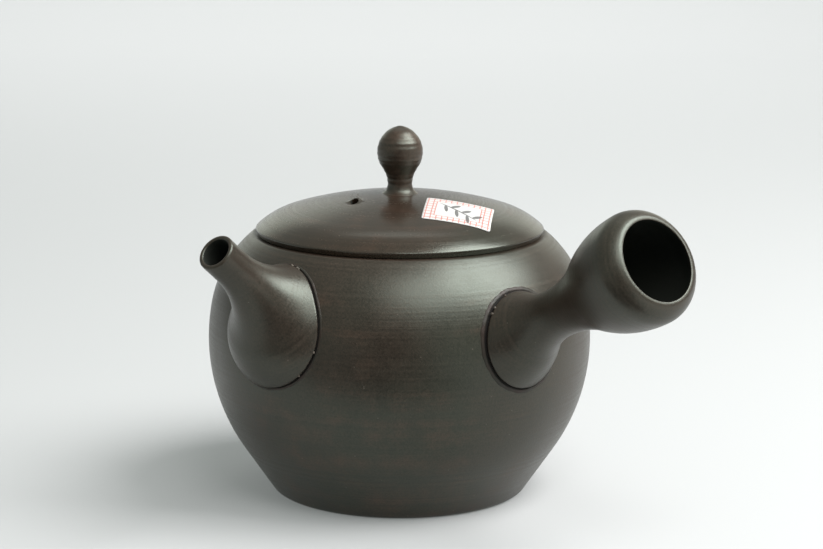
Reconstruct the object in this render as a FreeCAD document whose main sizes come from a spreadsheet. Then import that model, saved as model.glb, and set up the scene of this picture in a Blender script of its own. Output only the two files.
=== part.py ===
"""Side-handled stoneware teapot: a thrown pot with a luted spout and handle, a strainer, and a lift-off lid.

Millimetres, +Z up. The origin is the centre of the base, on the surface that the pot stands on.
The hollow handle points along +X and the spout turns away from it by spout_turn.
"""

import FreeCAD, Part
import math
import os

import Sketcher

SIZES = {
    # Pot wall, thrown as one piece
    "belly_radius": 54.95,  # widest half-width of the pot
    "belly_height": 44.2,  # height of the widest ring
    "belly_curve": 54.6,  # radius of the wall's upright arc at the belly
    "flank_lean": 34.2,  # lean of the straight flank above the base, degrees from upright
    "shoulder_start": 12.3,  # where the shoulder leaves the belly arc, degrees above the belly
    "shoulder_curve": 32.9,  # radius of the shoulder's upright arc
    "neck_rise": 30.3,  # rim height above the belly
    "pot_wall": 3.2,
    "pot_floor": 4.0,
    "lip_width": 3.6,  # flat ring round the mouth that carries the lid
    "lip_round": 0.5,
    "base_round": 1.2,
    # Lid
    "lip_ledge": 0.45,  # lip left showing outside the lid
    "lid_band": 1.6,  # upright band below the lid's crease
    "crease_inset": 0.4,  # the band leans in by this much up to the crease
    "edge_curve": 21.8,  # radius of the dome's outer arc
    "edge_angle": 46.3,  # direction of that arc's end at the crease, degrees above level
    "dome_curve": 112.7,  # radius of the dome's middle arc
    "lid_wall": 3.2,
    "lid_play": 0.6,  # gap between the lid's flange and the mouth
    "flange_depth": 6.0,
    "flange_wall": 3.0,
    "steam_hole": 2.4,
    "steam_distance": 15.9,  # steam hole from the lid's centre
    "steam_turn": -92.0,
    # Knob, luted on the lid
    "knob_foot_radius": 5.2,
    "knob_foot_edge": 0.3,
    "knob_waist_radius": 3.5,
    "knob_waist_height": 2.7,
    "knob_radius": 6.5,
    "knob_middle_height": 12.0,
    "knob_height": 19.4,
    "knob_tip_round": 3.0,
    # Spout, distances along its axis from where that axis crosses the belly's cylinder
    "spout_turn": -80.0,
    "spout_lift": 40.0,
    "spout_rise": 19.4,  # height of that crossing above the belly
    "spout_foot_radius": 19.2,
    "spout_foot_depth": 15.0,
    "spout_foot_round": 15.0,
    "spout_neck_reach": 17.2,
    "spout_tip_reach": 23.6,
    "spout_tip_radius": 5.25,
    "spout_wall": 2.6,
    "spout_tip_wall": 1.3,
    # Opening in the pot behind the spout, with its strainer
    "port_radius": 9.0,
    "strainer_depth": 7.2,  # its centre, behind where the spout's axis crosses the belly's cylinder
    "strainer_margin": 1.8,  # width of the strainer's inside beyond the port
    "strainer_wall": 1.8,
    "strainer_hole": 1.6,
    "strainer_pitch": 2.9,
    # Handle, distances along its axis in the same way
    "handle_lift": 28.45,
    "handle_rise": 11.3,
    "handle_foot_radius": 16.2,
    "handle_foot_depth": 19.5,
    "handle_foot_round": 43.0,
    "handle_waist_radius": 6.8,
    "handle_waist_reach": 14.8,
    "handle_bulb_radius": 15.45,
    "handle_bulb_reach": 50.5,
    "handle_bulb_round": 39.0,
    "handle_mouth_inset": 3.45,  # how far the mouth draws in from the bulb
    "handle_mouth_depth": 5.3,  # how far the mouth lies beyond the bulb
    "handle_wall": 2.3,
    "handle_lip": 1.6,
    # Luting slip between the feet and the pot
    "slip_layer": 0.5,
    "slip_recess": 0.6,  # how far the slip stays back from the edges of the foot
    "bond_gap": 0.05,  # gap between luted faces
    # Paper label on the lid
    "label_length": 19.0,
    "label_width": 18.5,
    "label_paper": 0.15,
    "label_distance": 23.6,
    "label_turn": 5.0,
    "label_twist": 45.6,
}

FULL_TURN = 360.0
ARM_TAIL = 20.0  # length of foot that runs on inside the pot before the foot is cut to the wall
ENVELOPE_RISE = 4.0  # height that the cutting forms run on above the rim
SAME_PLACE = 0.01  # two rings closer than this are the same ring
RING_COUNT = 3
FIRST_RING_COUNT = 6


class Dim:
    """A size: its number now, and the expression that ties it to the sheet."""

    def __init__(self, number, text=None):
        self.number = float(number)
        self.text = text or repr(number)

    def join(self, other, sign, number):
        return Dim(number, f"({self.text} {sign} {other.text})")

    def __add__(self, other):
        other = as_dim(other)
        return self.join(other, "+", self.number + other.number)

    def __sub__(self, other):
        other = as_dim(other)
        return self.join(other, "-", self.number - other.number)

    def __rsub__(self, other):
        return as_dim(other) - self

    def __mul__(self, other):
        other = as_dim(other)
        return self.join(other, "*", self.number * other.number)

    def __truediv__(self, other):
        other = as_dim(other)
        return self.join(other, "/", self.number / other.number)

    def __pow__(self, power):
        return Dim(self.number**power, f"({self.text}^{power})")


def as_dim(value):
    return value if isinstance(value, Dim) else Dim(value)


def sqrt(value):
    return Dim(math.sqrt(value.number), f"sqrt({value.text})")


def cos(angle):
    return Dim(math.cos(math.radians(angle.number)), f"cos({angle.text} * 1 deg)")


def sin(angle):
    return Dim(math.sin(math.radians(angle.number)), f"sin({angle.text} * 1 deg)")


def tan(angle):
    return Dim(math.tan(math.radians(angle.number)), f"tan({angle.text} * 1 deg)")


doc = FreeCAD.newDocument("teapot")
sheet = doc.addObject("Spreadsheet::Sheet", "dimensions")
size = {}
for row, (alias, number) in enumerate(SIZES.items(), start=1):
    sheet.set(f"A{row}", alias)
    sheet.set(f"B{row}", str(number))
    sheet.setAlias(f"B{row}", alias)
    size[alias] = Dim(number, f"dimensions.{alias}")
doc.recompute()

NOTHING = Dim(0.0)
RIM_HEIGHT = size["belly_height"] + size["neck_rise"]
BELLY_CENTRE = size["belly_radius"] - size["belly_curve"]
SHOULDER_SHIFT = size["belly_curve"] - size["shoulder_curve"]
SHOULDER_CENTRE_RADIUS = BELLY_CENTRE + SHOULDER_SHIFT * cos(size["shoulder_start"])
SHOULDER_CENTRE_HEIGHT = size["belly_height"] + SHOULDER_SHIFT * sin(size["shoulder_start"])
LIP_RADIUS = SHOULDER_CENTRE_RADIUS + sqrt(
    size["shoulder_curve"] ** 2 - (RIM_HEIGHT - SHOULDER_CENTRE_HEIGHT) ** 2
)
MOUTH_RADIUS = LIP_RADIUS - size["lip_width"]
LID_RADIUS = LIP_RADIUS - size["lip_ledge"]
CREASE_RADIUS = LID_RADIUS - size["crease_inset"]
CREASE_HEIGHT = RIM_HEIGHT + size["lid_band"]
FLANGE_RADIUS = MOUTH_RADIUS - size["lid_play"]
EDGE_CENTRE_RADIUS = CREASE_RADIUS - size["edge_curve"] * cos(size["edge_angle"])
EDGE_CENTRE_HEIGHT = CREASE_HEIGHT - size["edge_curve"] * sin(size["edge_angle"])
DOME_CENTRE_HEIGHT = EDGE_CENTRE_HEIGHT - sqrt(
    (size["dome_curve"] - size["edge_curve"]) ** 2 - EDGE_CENTRE_RADIUS**2
)
KNOB_SEAT_HEIGHT = DOME_CENTRE_HEIGHT + sqrt(size["dome_curve"] ** 2 - size["knob_foot_radius"] ** 2)


class Edge:
    """One edge of an outline, with the sketch's numbers for its first and last points."""

    def __init__(self, index, first, last):
        self.index = index
        self.first = (index, first)
        self.last = (index, last)
        self.centre = (index, 3)


def new_sketch(body, name, plane_role):
    sketch = body.newObject("Sketcher::SketchObject", name)
    plane = next(f for f in body.Origin.OriginFeatures if f.Role == plane_role)
    sketch.AttachmentSupport = [(plane, "")]
    sketch.MapMode = "FlatFace"
    return sketch


class Outline:
    """A sketch in a body's upright plane: x is the radius, y the height along the body's axis."""

    def __init__(self, body, name):
        self.sketch = new_sketch(body, name, "XZ_Plane")

    def line(self, start, end, helper=False):
        points = [FreeCAD.Vector(x, y, 0) for x, y in (start, end)]
        return Edge(self.sketch.addGeometry(Part.LineSegment(*points), helper), 1, 2)

    def arc(self, centre, start, end):
        """The shorter arc about centre from start to end; a half circle runs anticlockwise."""
        angles = [math.atan2(y - centre[1], x - centre[0]) for x, y in (start, end)]
        radius = math.dist(centre, start)
        circle = Part.Circle(FreeCAD.Vector(*centre, 0), FreeCAD.Vector(0, 0, 1), radius)
        sweep = (angles[1] - angles[0]) % math.tau
        forward = sweep < math.pi or math.isclose(sweep, math.pi)
        first, last = angles if forward else reversed(angles)
        index = self.sketch.addGeometry(Part.ArcOfCircle(circle, first, last), False)
        return Edge(index, 1, 2) if forward else Edge(index, 2, 1)

    def tie(self, kind, *points):
        refs = [number for point in points for number in point]
        return self.sketch.addConstraint(Sketcher.Constraint(kind, *refs))

    def meet(self, *edges):
        for before, after in zip(edges, edges[1:]):
            self.tie("Coincident", before.last, after.first)

    def blend(self, before, after):
        self.tie("Tangent", before.last, after.first)

    def bind(self, kind, refs, dim):
        index = self.sketch.addConstraint(Sketcher.Constraint(kind, *refs, dim.number))
        self.sketch.setExpression(f"Constraints[{index}]", dim.text)

    def place(self, point, x=None, y=None):
        if x is not None:
            self.bind("DistanceX", (-1, 1, *point), x)
        if y is not None:
            self.bind("DistanceY", (-1, 1, *point), y)

    def radius(self, edge, dim):
        self.bind("Radius", (edge.index,), dim)

    def angle(self, edge, dim):
        angle = Sketcher.Constraint("Angle", edge.index, math.radians(dim.number))
        index = self.sketch.addConstraint(angle)
        self.sketch.setExpression(f"Constraints[{index}]", dim.text)

    def on_axis(self, point):
        self.tie("PointOnObject", point, (-2,))

    def level(self, edge):
        self.tie("Horizontal", (edge.index,))

    def upright(self, edge):
        self.tie("Vertical", (edge.index,))


def new_body(label):
    body = doc.addObject("PartDesign::Body", label)
    body.Label = label
    return body


def turn(body, outline):
    """Revolve an outline about its body's axis."""
    doc.recompute()
    if not outline.sketch.FullyConstrained:
        raise RuntimeError(f"{body.Label}: the outline is not fully constrained")
    form = body.newObject("PartDesign::Revolution", f"{body.Label}_turned")
    form.Profile = (outline.sketch, [""])
    form.ReferenceAxis = (outline.sketch, ["V_Axis"])
    form.Angle = FULL_TURN
    doc.recompute()
    return form


def drill(body, name, diameter, distance=None, turn_angle=NOTHING):
    """A round hole right through a body along its axis, at a distance from that axis."""
    whole = body.Shape.Volume
    sketch = new_sketch(body, f"{name}_outline", "XY_Plane")
    reach = distance.number if distance else 0.0
    direction = math.radians(turn_angle.number)
    spot = FreeCAD.Vector(reach * math.cos(direction), reach * math.sin(direction), 0)
    circle = Part.Circle(spot, FreeCAD.Vector(0, 0, 1), diameter.number / 2)
    hole = sketch.addGeometry(circle, False)
    bound = [(Sketcher.Constraint("Diameter", hole, diameter.number), diameter)]
    if distance:
        arm = sketch.addGeometry(Part.LineSegment(FreeCAD.Vector(0, 0, 0), spot), True)
        sketch.addConstraint(Sketcher.Constraint("Coincident", arm, 1, -1, 1))
        sketch.addConstraint(Sketcher.Constraint("Coincident", arm, 2, hole, 3))
        bound.append((Sketcher.Constraint("Distance", arm, reach), distance))
        bound.append((Sketcher.Constraint("Angle", arm, direction), turn_angle))
    else:
        sketch.addConstraint(Sketcher.Constraint("Coincident", hole, 3, -1, 1))
    for constraint, dim in bound:
        index = sketch.addConstraint(constraint)
        sketch.setExpression(f"Constraints[{index}]", dim.text)
    pocket = body.newObject("PartDesign::Pocket", name)
    pocket.Profile = (sketch, [""])
    pocket.Type = "ThroughAll"
    pocket.Reversed = True
    doc.recompute()
    if not sketch.FullyConstrained or body.Shape.Volume >= whole:
        raise RuntimeError(f"{name} cuts nothing, or its outline is not fully constrained")
    return sketch, pocket


def combine(kind, label, base, tool):
    result = doc.addObject(kind, label)
    result.Label = label
    result.Base = base
    result.Tool = tool
    doc.recompute()
    return result


def round_rings(body, form, rings, radius):
    """Round the circular edges that lie at the given (radius, height) pairs."""
    names = []
    for number, edge in enumerate(form.Shape.Edges, start=1):
        if not isinstance(edge.Curve, Part.Circle):
            continue
        ring = (edge.Curve.Radius, edge.Curve.Center.z)
        if any(math.dist(ring, spot) < SAME_PLACE for spot in rings):
            names.append(f"Edge{number}")
    if len(names) < len(rings):
        raise RuntimeError(f"{body.Label}: an edge to round was not found")
    soft = body.newObject("PartDesign::Fillet", f"{form.Name}_rounded")
    soft.Base = (form, names)
    soft.setExpression("Radius", radius.text)
    doc.recompute()
    return soft


def thrown_wall(outline, inset, foot_height, top_height=None, mouth=None):
    """The pot's wall line, set in by inset: flank, two belly arcs and shoulder, from the foot up.

    It ends at top_height, or where it meets the mouth's radius.
    """
    lean = math.radians(size["flank_lean"].number)
    start = math.radians(size["shoulder_start"].number)
    centre = (BELLY_CENTRE.number, size["belly_height"].number)
    belly_curve = size["belly_curve"] - inset
    shoulder_curve = size["shoulder_curve"] - inset
    belly_radius = size["belly_radius"] - inset
    shoulder_centre = (SHOULDER_CENTRE_RADIUS.number, SHOULDER_CENTRE_HEIGHT.number)

    def on_belly(angle):
        return (
            centre[0] + belly_curve.number * math.cos(angle),
            centre[1] + belly_curve.number * math.sin(angle),
        )

    flank_top = on_belly(-lean)
    drop = flank_top[1] - foot_height.number
    foot = (flank_top[0] - drop * math.tan(lean), foot_height.number)
    shoulder_foot = on_belly(start)
    if mouth is None:
        across = math.sqrt(shoulder_curve.number**2 - (top_height.number - shoulder_centre[1]) ** 2)
        top = (shoulder_centre[0] + across, top_height.number)
    else:
        up = math.sqrt(shoulder_curve.number**2 - (mouth.number - shoulder_centre[0]) ** 2)
        top = (mouth.number, shoulder_centre[1] + up)

    flank = outline.line(foot, flank_top)
    lower = outline.arc(centre, flank_top, on_belly(0))
    upper = outline.arc(centre, on_belly(0), shoulder_foot)
    shoulder = outline.arc(shoulder_centre, shoulder_foot, top)
    spoke = outline.line(centre, shoulder_foot, helper=True)
    outline.blend(flank, lower)
    outline.meet(lower, upper)
    outline.blend(upper, shoulder)
    outline.place(lower.last, belly_radius, size["belly_height"])
    outline.place(lower.centre, y=size["belly_height"])
    outline.tie("Coincident", lower.centre, upper.centre)
    outline.radius(lower, belly_curve)
    outline.radius(shoulder, shoulder_curve)
    outline.tie("Coincident", spoke.first, upper.centre)
    outline.tie("Coincident", spoke.last, upper.last)
    outline.angle(spoke, size["shoulder_start"])
    outline.angle(flank, 90 - size["flank_lean"])
    outline.place(flank.first, y=foot_height)
    if mouth is None:
        outline.place(shoulder.last, y=top_height)
    else:
        outline.place(shoulder.last, x=mouth)
    return flank, shoulder, foot, top


def wall_form(label, inset, foot_height, top_height):
    """A solid form bounded by the pot's wall line, set in by inset."""
    body = new_body(label)
    outline = Outline(body, f"{label}_outline")
    flank, shoulder, foot, top = thrown_wall(outline, inset, foot_height, top_height)
    lid = outline.line(top, (0, top[1]))
    axis = outline.line((0, top[1]), (0, foot[1]))
    floor = outline.line((0, foot[1]), foot)
    outline.meet(shoulder, lid, axis, floor, flank)
    outline.level(lid)
    outline.level(floor)
    outline.on_axis(axis.first)
    outline.on_axis(axis.last)
    turn(body, outline)
    return body


def make_pot_shell():
    body = new_body("pot_shell")
    outline = Outline(body, "pot_outline")
    flank, shoulder, foot, lip = thrown_wall(outline, NOTHING, NOTHING, RIM_HEIGHT)
    inside = thrown_wall(outline, size["pot_wall"], size["pot_floor"], mouth=MOUTH_RADIUS)
    inner_flank, inner_shoulder, inner_foot, throat = inside
    rim = outline.line(lip, (throat[0], lip[1]))
    mouth = outline.line((throat[0], lip[1]), throat)
    inner_floor = outline.line(inner_foot, (0, inner_foot[1]))
    axis = outline.line((0, inner_foot[1]), (0, 0))
    base = outline.line((0, 0), foot)
    outline.meet(shoulder, rim, mouth)
    outline.tie("Coincident", mouth.last, inner_shoulder.last)
    outline.tie("Coincident", inner_floor.first, inner_flank.first)
    outline.meet(inner_floor, axis, base, flank)
    outline.level(rim)
    outline.upright(mouth)
    outline.level(inner_floor)
    outline.level(base)
    outline.on_axis(axis.first)
    outline.on_axis(axis.last)
    form = turn(body, outline)
    lip_rings = [(LIP_RADIUS.number, RIM_HEIGHT.number), (MOUTH_RADIUS.number, RIM_HEIGHT.number)]
    form = round_rings(body, form, lip_rings, size["lip_round"])
    round_rings(body, form, [(foot[0], 0.0)], size["base_round"])
    return body


def swell(outline, start, end, first_radius, joins=None):
    """An S from one turning point to the next: two tangent arcs, the first with its own radius.

    Each point is (radius, height); the outline runs along the axis at both of them.
    joins is the point of an earlier edge that the S starts from, if there is one.
    """
    (r0, h0), (r1, h1) = [(r.number, h.number) for r, h in (start, end)]
    grow = 1 if r1 > r0 else -1
    total = ((h1 - h0) ** 2 + (r1 - r0) ** 2) / (2 * abs(r1 - r0))
    first_centre = (r0 + grow * first_radius.number, h0)
    last_centre = (r1 - grow * (total - first_radius.number), h1)
    share = first_radius.number / total
    middle = tuple(a + share * (b - a) for a, b in zip(first_centre, last_centre))
    before = outline.arc(first_centre, (r0, h0), middle)
    after = outline.arc(last_centre, middle, (r1, h1))
    outline.blend(before, after)
    if joins:
        outline.tie("Coincident", joins, before.first)
    else:
        outline.place(before.first, *start)
    outline.place(before.centre, y=start[1])
    outline.radius(before, first_radius)
    outline.place(after.last, *end)
    outline.place(after.centre, y=end[1])
    return before, after


def swell_back(outline, start, end, last_radius, joins=None):
    """The same S run backwards, as a bore is, with last_radius and joins at its end."""
    after, before = swell(outline, end, start, last_radius, joins)
    for edge in (before, after):
        edge.first, edge.last = edge.last, edge.first
    return before, after


def along(turn_angle, lift, rise):
    """Placement expression of a slanted axis that starts on the pot's axis."""
    start = size["belly_height"] + rise - size["belly_radius"] * tan(lift)
    return (
        f"placement(vector(0; 0; {start.text}); "
        f"rotation(vector(0; 0; 1); {turn_angle.text}) * rotation(vector(0; 1; 0); 90 - {lift.text}))"
    )


SPOUT_SEAT = size["belly_radius"] / cos(size["spout_lift"])
SPOUT_TAIL = SPOUT_SEAT - size["spout_foot_depth"] - ARM_TAIL
SPOUT_AXIS = along(size["spout_turn"], size["spout_lift"], size["spout_rise"])
HANDLE_SEAT = size["belly_radius"] / cos(size["handle_lift"])
HANDLE_AXIS = along(NOTHING, size["handle_lift"], size["handle_rise"])


def spout_tube(label, recess):
    """The spout before its foot is cut to the wall; recess thins it from both sides."""
    body = new_body(label)
    outline = Outline(body, f"{label}_outline")
    foot = SPOUT_SEAT - size["spout_foot_depth"]
    neck = SPOUT_SEAT + size["spout_neck_reach"]
    tip = SPOUT_SEAT + size["spout_tip_reach"]
    foot_out = size["spout_foot_radius"] - recess
    foot_in = size["spout_foot_radius"] - size["spout_wall"] + recess
    tip_out = size["spout_tip_radius"] - recess
    tip_in = size["spout_tip_radius"] - size["spout_tip_wall"] + recess
    round_out = size["spout_foot_round"] - recess
    round_in = size["spout_foot_round"] - size["spout_wall"] + recess

    tail_out = outline.line((foot_out.number, SPOUT_TAIL.number), (foot_out.number, foot.number))
    outer = swell(outline, (foot_out, foot), (tip_out, neck), round_out)
    tube = outline.line((tip_out.number, neck.number), (tip_out.number, tip.number))
    lip_centre = ((tip_out.number + tip_in.number) / 2, tip.number)
    lip = outline.arc(lip_centre, (tip_out.number, tip.number), (tip_in.number, tip.number))
    bore = outline.line((tip_in.number, tip.number), (tip_in.number, neck.number))
    inner = swell_back(outline, (tip_in, neck), (foot_in, foot), round_in)
    tail_in = outline.line((foot_in.number, foot.number), (foot_in.number, SPOUT_TAIL.number))
    close = outline.line((foot_in.number, SPOUT_TAIL.number), (foot_out.number, SPOUT_TAIL.number))

    outline.meet(tail_out, outer[0])
    outline.meet(outer[1], tube)
    outline.blend(tube, lip)
    outline.blend(lip, bore)
    outline.meet(bore, inner[0])
    outline.meet(inner[1], tail_in, close, tail_out)
    outline.upright(tube)
    outline.upright(bore)
    outline.upright(tail_out)
    outline.upright(tail_in)
    outline.level(close)
    outline.place(tail_out.first, y=SPOUT_TAIL)
    outline.place(tube.last, y=tip)
    turn(body, outline)
    body.setExpression("Placement", SPOUT_AXIS)
    return body


def handle_tube(label, recess):
    """The handle before its foot is cut to the wall; recess thins it from both sides."""
    body = new_body(label)
    outline = Outline(body, f"{label}_outline")
    wall = size["handle_wall"] - recess
    tail = HANDLE_SEAT - size["handle_foot_depth"] - ARM_TAIL
    foot = HANDLE_SEAT - size["handle_foot_depth"]
    waist = HANDLE_SEAT + size["handle_waist_reach"]
    bulb = HANDLE_SEAT + size["handle_bulb_reach"]
    mouth = bulb + size["handle_mouth_depth"]
    outside = [size[f"handle_{part}_radius"] - recess for part in ("foot", "waist", "bulb")]
    inside = [size[f"handle_{part}_radius"] - wall for part in ("foot", "waist", "bulb")]
    round_out = size["handle_foot_round"] - recess
    round_in = size["handle_foot_round"] - wall
    bulb_out = size["handle_bulb_round"] + recess
    bulb_in = size["handle_bulb_round"] + wall
    mouth_out = outside[2] - size["handle_mouth_inset"]
    mouth_in = mouth_out - size["handle_lip"] + recess * 2

    def closing_arc(bulb_radius, mouth_radius):
        across = bulb_radius.number - mouth_radius.number
        radius = ((mouth.number - bulb.number) ** 2 + across**2) / (2 * across)
        return (bulb_radius.number - radius, bulb.number)

    tail_out = outline.line((outside[0].number, tail.number), (outside[0].number, foot.number))
    foot_outer = swell(outline, (outside[0], foot), (outside[1], waist), round_out)
    outer_waist = foot_outer[1].last
    bulb_outer = swell(outline, (outside[1], waist), (outside[2], bulb), bulb_out, outer_waist)
    bulb_end = (outside[2].number, bulb.number)
    mouth_end = (mouth_out.number, mouth.number)
    closing = outline.arc(closing_arc(outside[2], mouth_out), bulb_end, mouth_end)
    lip_centre = ((mouth_out.number + mouth_in.number) / 2, mouth.number)
    lip = outline.arc(lip_centre, mouth_end, (mouth_in.number, mouth.number))
    inner_end = (inside[2].number, bulb.number)
    inner_closing = outline.line((mouth_in.number, mouth.number), inner_end)
    foot_inner = swell_back(outline, (inside[1], waist), (inside[0], foot), round_in)
    inner_waist = foot_inner[0].first
    bulb_inner = swell_back(outline, (inside[2], bulb), (inside[1], waist), bulb_in, inner_waist)
    tail_in = outline.line((inside[0].number, foot.number), (inside[0].number, tail.number))
    close = outline.line((inside[0].number, tail.number), (outside[0].number, tail.number))

    outline.meet(tail_out, foot_outer[0])
    outline.meet(bulb_outer[1], closing, lip, inner_closing, bulb_inner[0])
    outline.meet(foot_inner[1], tail_in, close, tail_out)
    outline.place(closing.centre, y=bulb)
    outline.place(closing.last, mouth_out, mouth)
    outline.place(lip.last, mouth_in, mouth)
    outline.place(lip.centre, y=mouth)
    outline.upright(tail_out)
    outline.upright(tail_in)
    outline.level(close)
    outline.place(tail_out.first, y=tail)
    turn(body, outline)
    body.setExpression("Placement", HANDLE_AXIS)
    return body


def lid_dome(outline, lift, inner_radius):
    """The lid's dome line, raised by lift: the middle arc from inner_radius out, then the edge arc."""
    dome_curve = size["dome_curve"] + lift
    edge_curve = size["edge_curve"] + lift
    dome_centre = (0.0, DOME_CENTRE_HEIGHT.number)
    edge_centre = (EDGE_CENTRE_RADIUS.number, EDGE_CENTRE_HEIGHT.number)
    reach = math.dist(dome_centre, edge_centre)
    joint = tuple(c + (e - c) * dome_curve.number / reach for c, e in zip(dome_centre, edge_centre))
    edge_angle = math.radians(size["edge_angle"].number)
    crease = (
        edge_centre[0] + edge_curve.number * math.cos(edge_angle),
        edge_centre[1] + edge_curve.number * math.sin(edge_angle),
    )
    rise = math.sqrt(dome_curve.number**2 - inner_radius.number**2)
    start = (inner_radius.number, dome_centre[1] + rise)
    dome = outline.arc(dome_centre, start, joint)
    edge = outline.arc(edge_centre, joint, crease)
    spoke = outline.line(edge_centre, crease, helper=True)
    outline.blend(dome, edge)
    outline.on_axis(dome.centre)
    outline.radius(dome, dome_curve)
    outline.place(dome.first, x=inner_radius)
    outline.place(edge.centre, EDGE_CENTRE_RADIUS, EDGE_CENTRE_HEIGHT)
    outline.radius(edge, edge_curve)
    outline.tie("Coincident", spoke.first, edge.centre)
    outline.tie("Coincident", spoke.last, edge.last)
    outline.angle(spoke, size["edge_angle"])
    return dome, edge, start, crease


def make_lid():
    body = new_body("lid")
    outline = Outline(body, "lid_outline")
    dome, edge, seat, crease = lid_dome(outline, NOTHING, size["knob_foot_radius"])
    rim = RIM_HEIGHT.number
    flange_inside = FLANGE_RADIUS - size["flange_wall"]
    flange_bottom = RIM_HEIGHT - size["flange_depth"]
    ceiling_curve = size["dome_curve"] - size["lid_wall"]
    ceiling_centre = (0.0, DOME_CENTRE_HEIGHT.number)
    reach = math.sqrt(ceiling_curve.number**2 - flange_inside.number**2)
    spring = (flange_inside.number, ceiling_centre[1] + reach)
    ceiling_top = (0.0, ceiling_centre[1] + ceiling_curve.number)

    seat_face = outline.line((0.0, seat[1]), seat)
    band = outline.line(crease, (LID_RADIUS.number, rim))
    ledge = outline.line((LID_RADIUS.number, rim), (FLANGE_RADIUS.number, rim))
    flange_outer = outline.line((FLANGE_RADIUS.number, rim), (FLANGE_RADIUS.number, flange_bottom.number))
    flange_end = outline.line(
        (FLANGE_RADIUS.number, flange_bottom.number), (flange_inside.number, flange_bottom.number)
    )
    flange_inner = outline.line((flange_inside.number, flange_bottom.number), spring)
    ceiling = outline.arc(ceiling_centre, spring, ceiling_top)
    axis = outline.line(ceiling_top, (0.0, seat[1]))

    outline.meet(seat_face, dome)
    outline.meet(edge, band, ledge, flange_outer, flange_end, flange_inner, ceiling, axis, seat_face)
    outline.level(seat_face)
    outline.on_axis(seat_face.first)
    outline.on_axis(ceiling.last)
    outline.place(band.last, LID_RADIUS, RIM_HEIGHT)
    outline.level(ledge)
    outline.upright(flange_outer)
    outline.level(flange_end)
    outline.upright(flange_inner)
    outline.place(flange_outer.last, FLANGE_RADIUS, flange_bottom)
    outline.place(flange_inner.first, x=flange_inside)
    outline.tie("Coincident", ceiling.centre, dome.centre)
    outline.radius(ceiling, ceiling_curve)
    turn(body, outline)
    drill(body, "steam_hole", size["steam_hole"], size["steam_distance"], size["steam_turn"])
    return body


def make_knob():
    body = new_body("lid_knob")
    outline = Outline(body, "knob_outline")
    foot_radius = size["knob_foot_radius"].number
    foot_edge = size["knob_foot_edge"]
    waist = (size["knob_waist_radius"], size["knob_waist_height"])
    middle = (size["knob_radius"], size["knob_middle_height"])
    drop = waist[1].number - foot_edge.number
    flare = foot_radius - waist[0].number
    flare_radius = (drop**2 + flare**2) / (2 * flare)
    flare_centre = (waist[0].number + flare_radius, waist[1].number)
    height = size["knob_height"].number
    tip_round = size["knob_tip_round"]
    tip_centre = (0.0, height - tip_round.number)
    rise = tip_centre[1] - middle[1].number
    crown_radius = (middle[0].number ** 2 + rise**2 - tip_round.number**2) / (
        2 * (middle[0].number - tip_round.number)
    )
    crown_centre = (middle[0].number - crown_radius, middle[1].number)
    stretch = tip_round.number / (crown_radius - tip_round.number)
    crown_end = tuple(t + (t - c) * stretch for c, t in zip(crown_centre, tip_centre))
    waist_spot, middle_spot = [(r.number, h.number) for r, h in (waist, middle)]
    half_swell = (size["knob_middle_height"] - size["knob_waist_height"]) ** 2
    half_swell = (half_swell + (size["knob_radius"] - size["knob_waist_radius"]) ** 2) / (
        (size["knob_radius"] - size["knob_waist_radius"]) * 4
    )

    base = outline.line((0.0, 0.0), (foot_radius, 0.0))
    side = outline.line((foot_radius, 0.0), (foot_radius, foot_edge.number))
    flare_arc = outline.arc(flare_centre, (foot_radius, foot_edge.number), waist_spot)
    neck = swell(outline, waist, middle, half_swell)
    crown = outline.arc(crown_centre, middle_spot, crown_end)
    tip = outline.arc(tip_centre, crown_end, (0.0, height))
    axis = outline.line((0.0, height), (0.0, 0.0))
    outline.meet(base, side, flare_arc, neck[0])
    outline.meet(neck[1], crown)
    outline.blend(crown, tip)
    outline.meet(tip, axis, base)
    outline.tie("Coincident", base.first, (-1, 1))
    outline.level(base)
    outline.upright(side)
    outline.place(side.last, size["knob_foot_radius"], foot_edge)
    outline.place(flare_arc.centre, y=waist[1])
    outline.place(crown.centre, y=middle[1])
    outline.on_axis(tip.centre)
    outline.radius(tip, tip_round)
    outline.on_axis(tip.last)
    outline.place(tip.last, y=size["knob_height"])
    turn(body, outline)
    body.setExpression("Placement.Base.z", KNOB_SEAT_HEIGHT.text)
    return body


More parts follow.
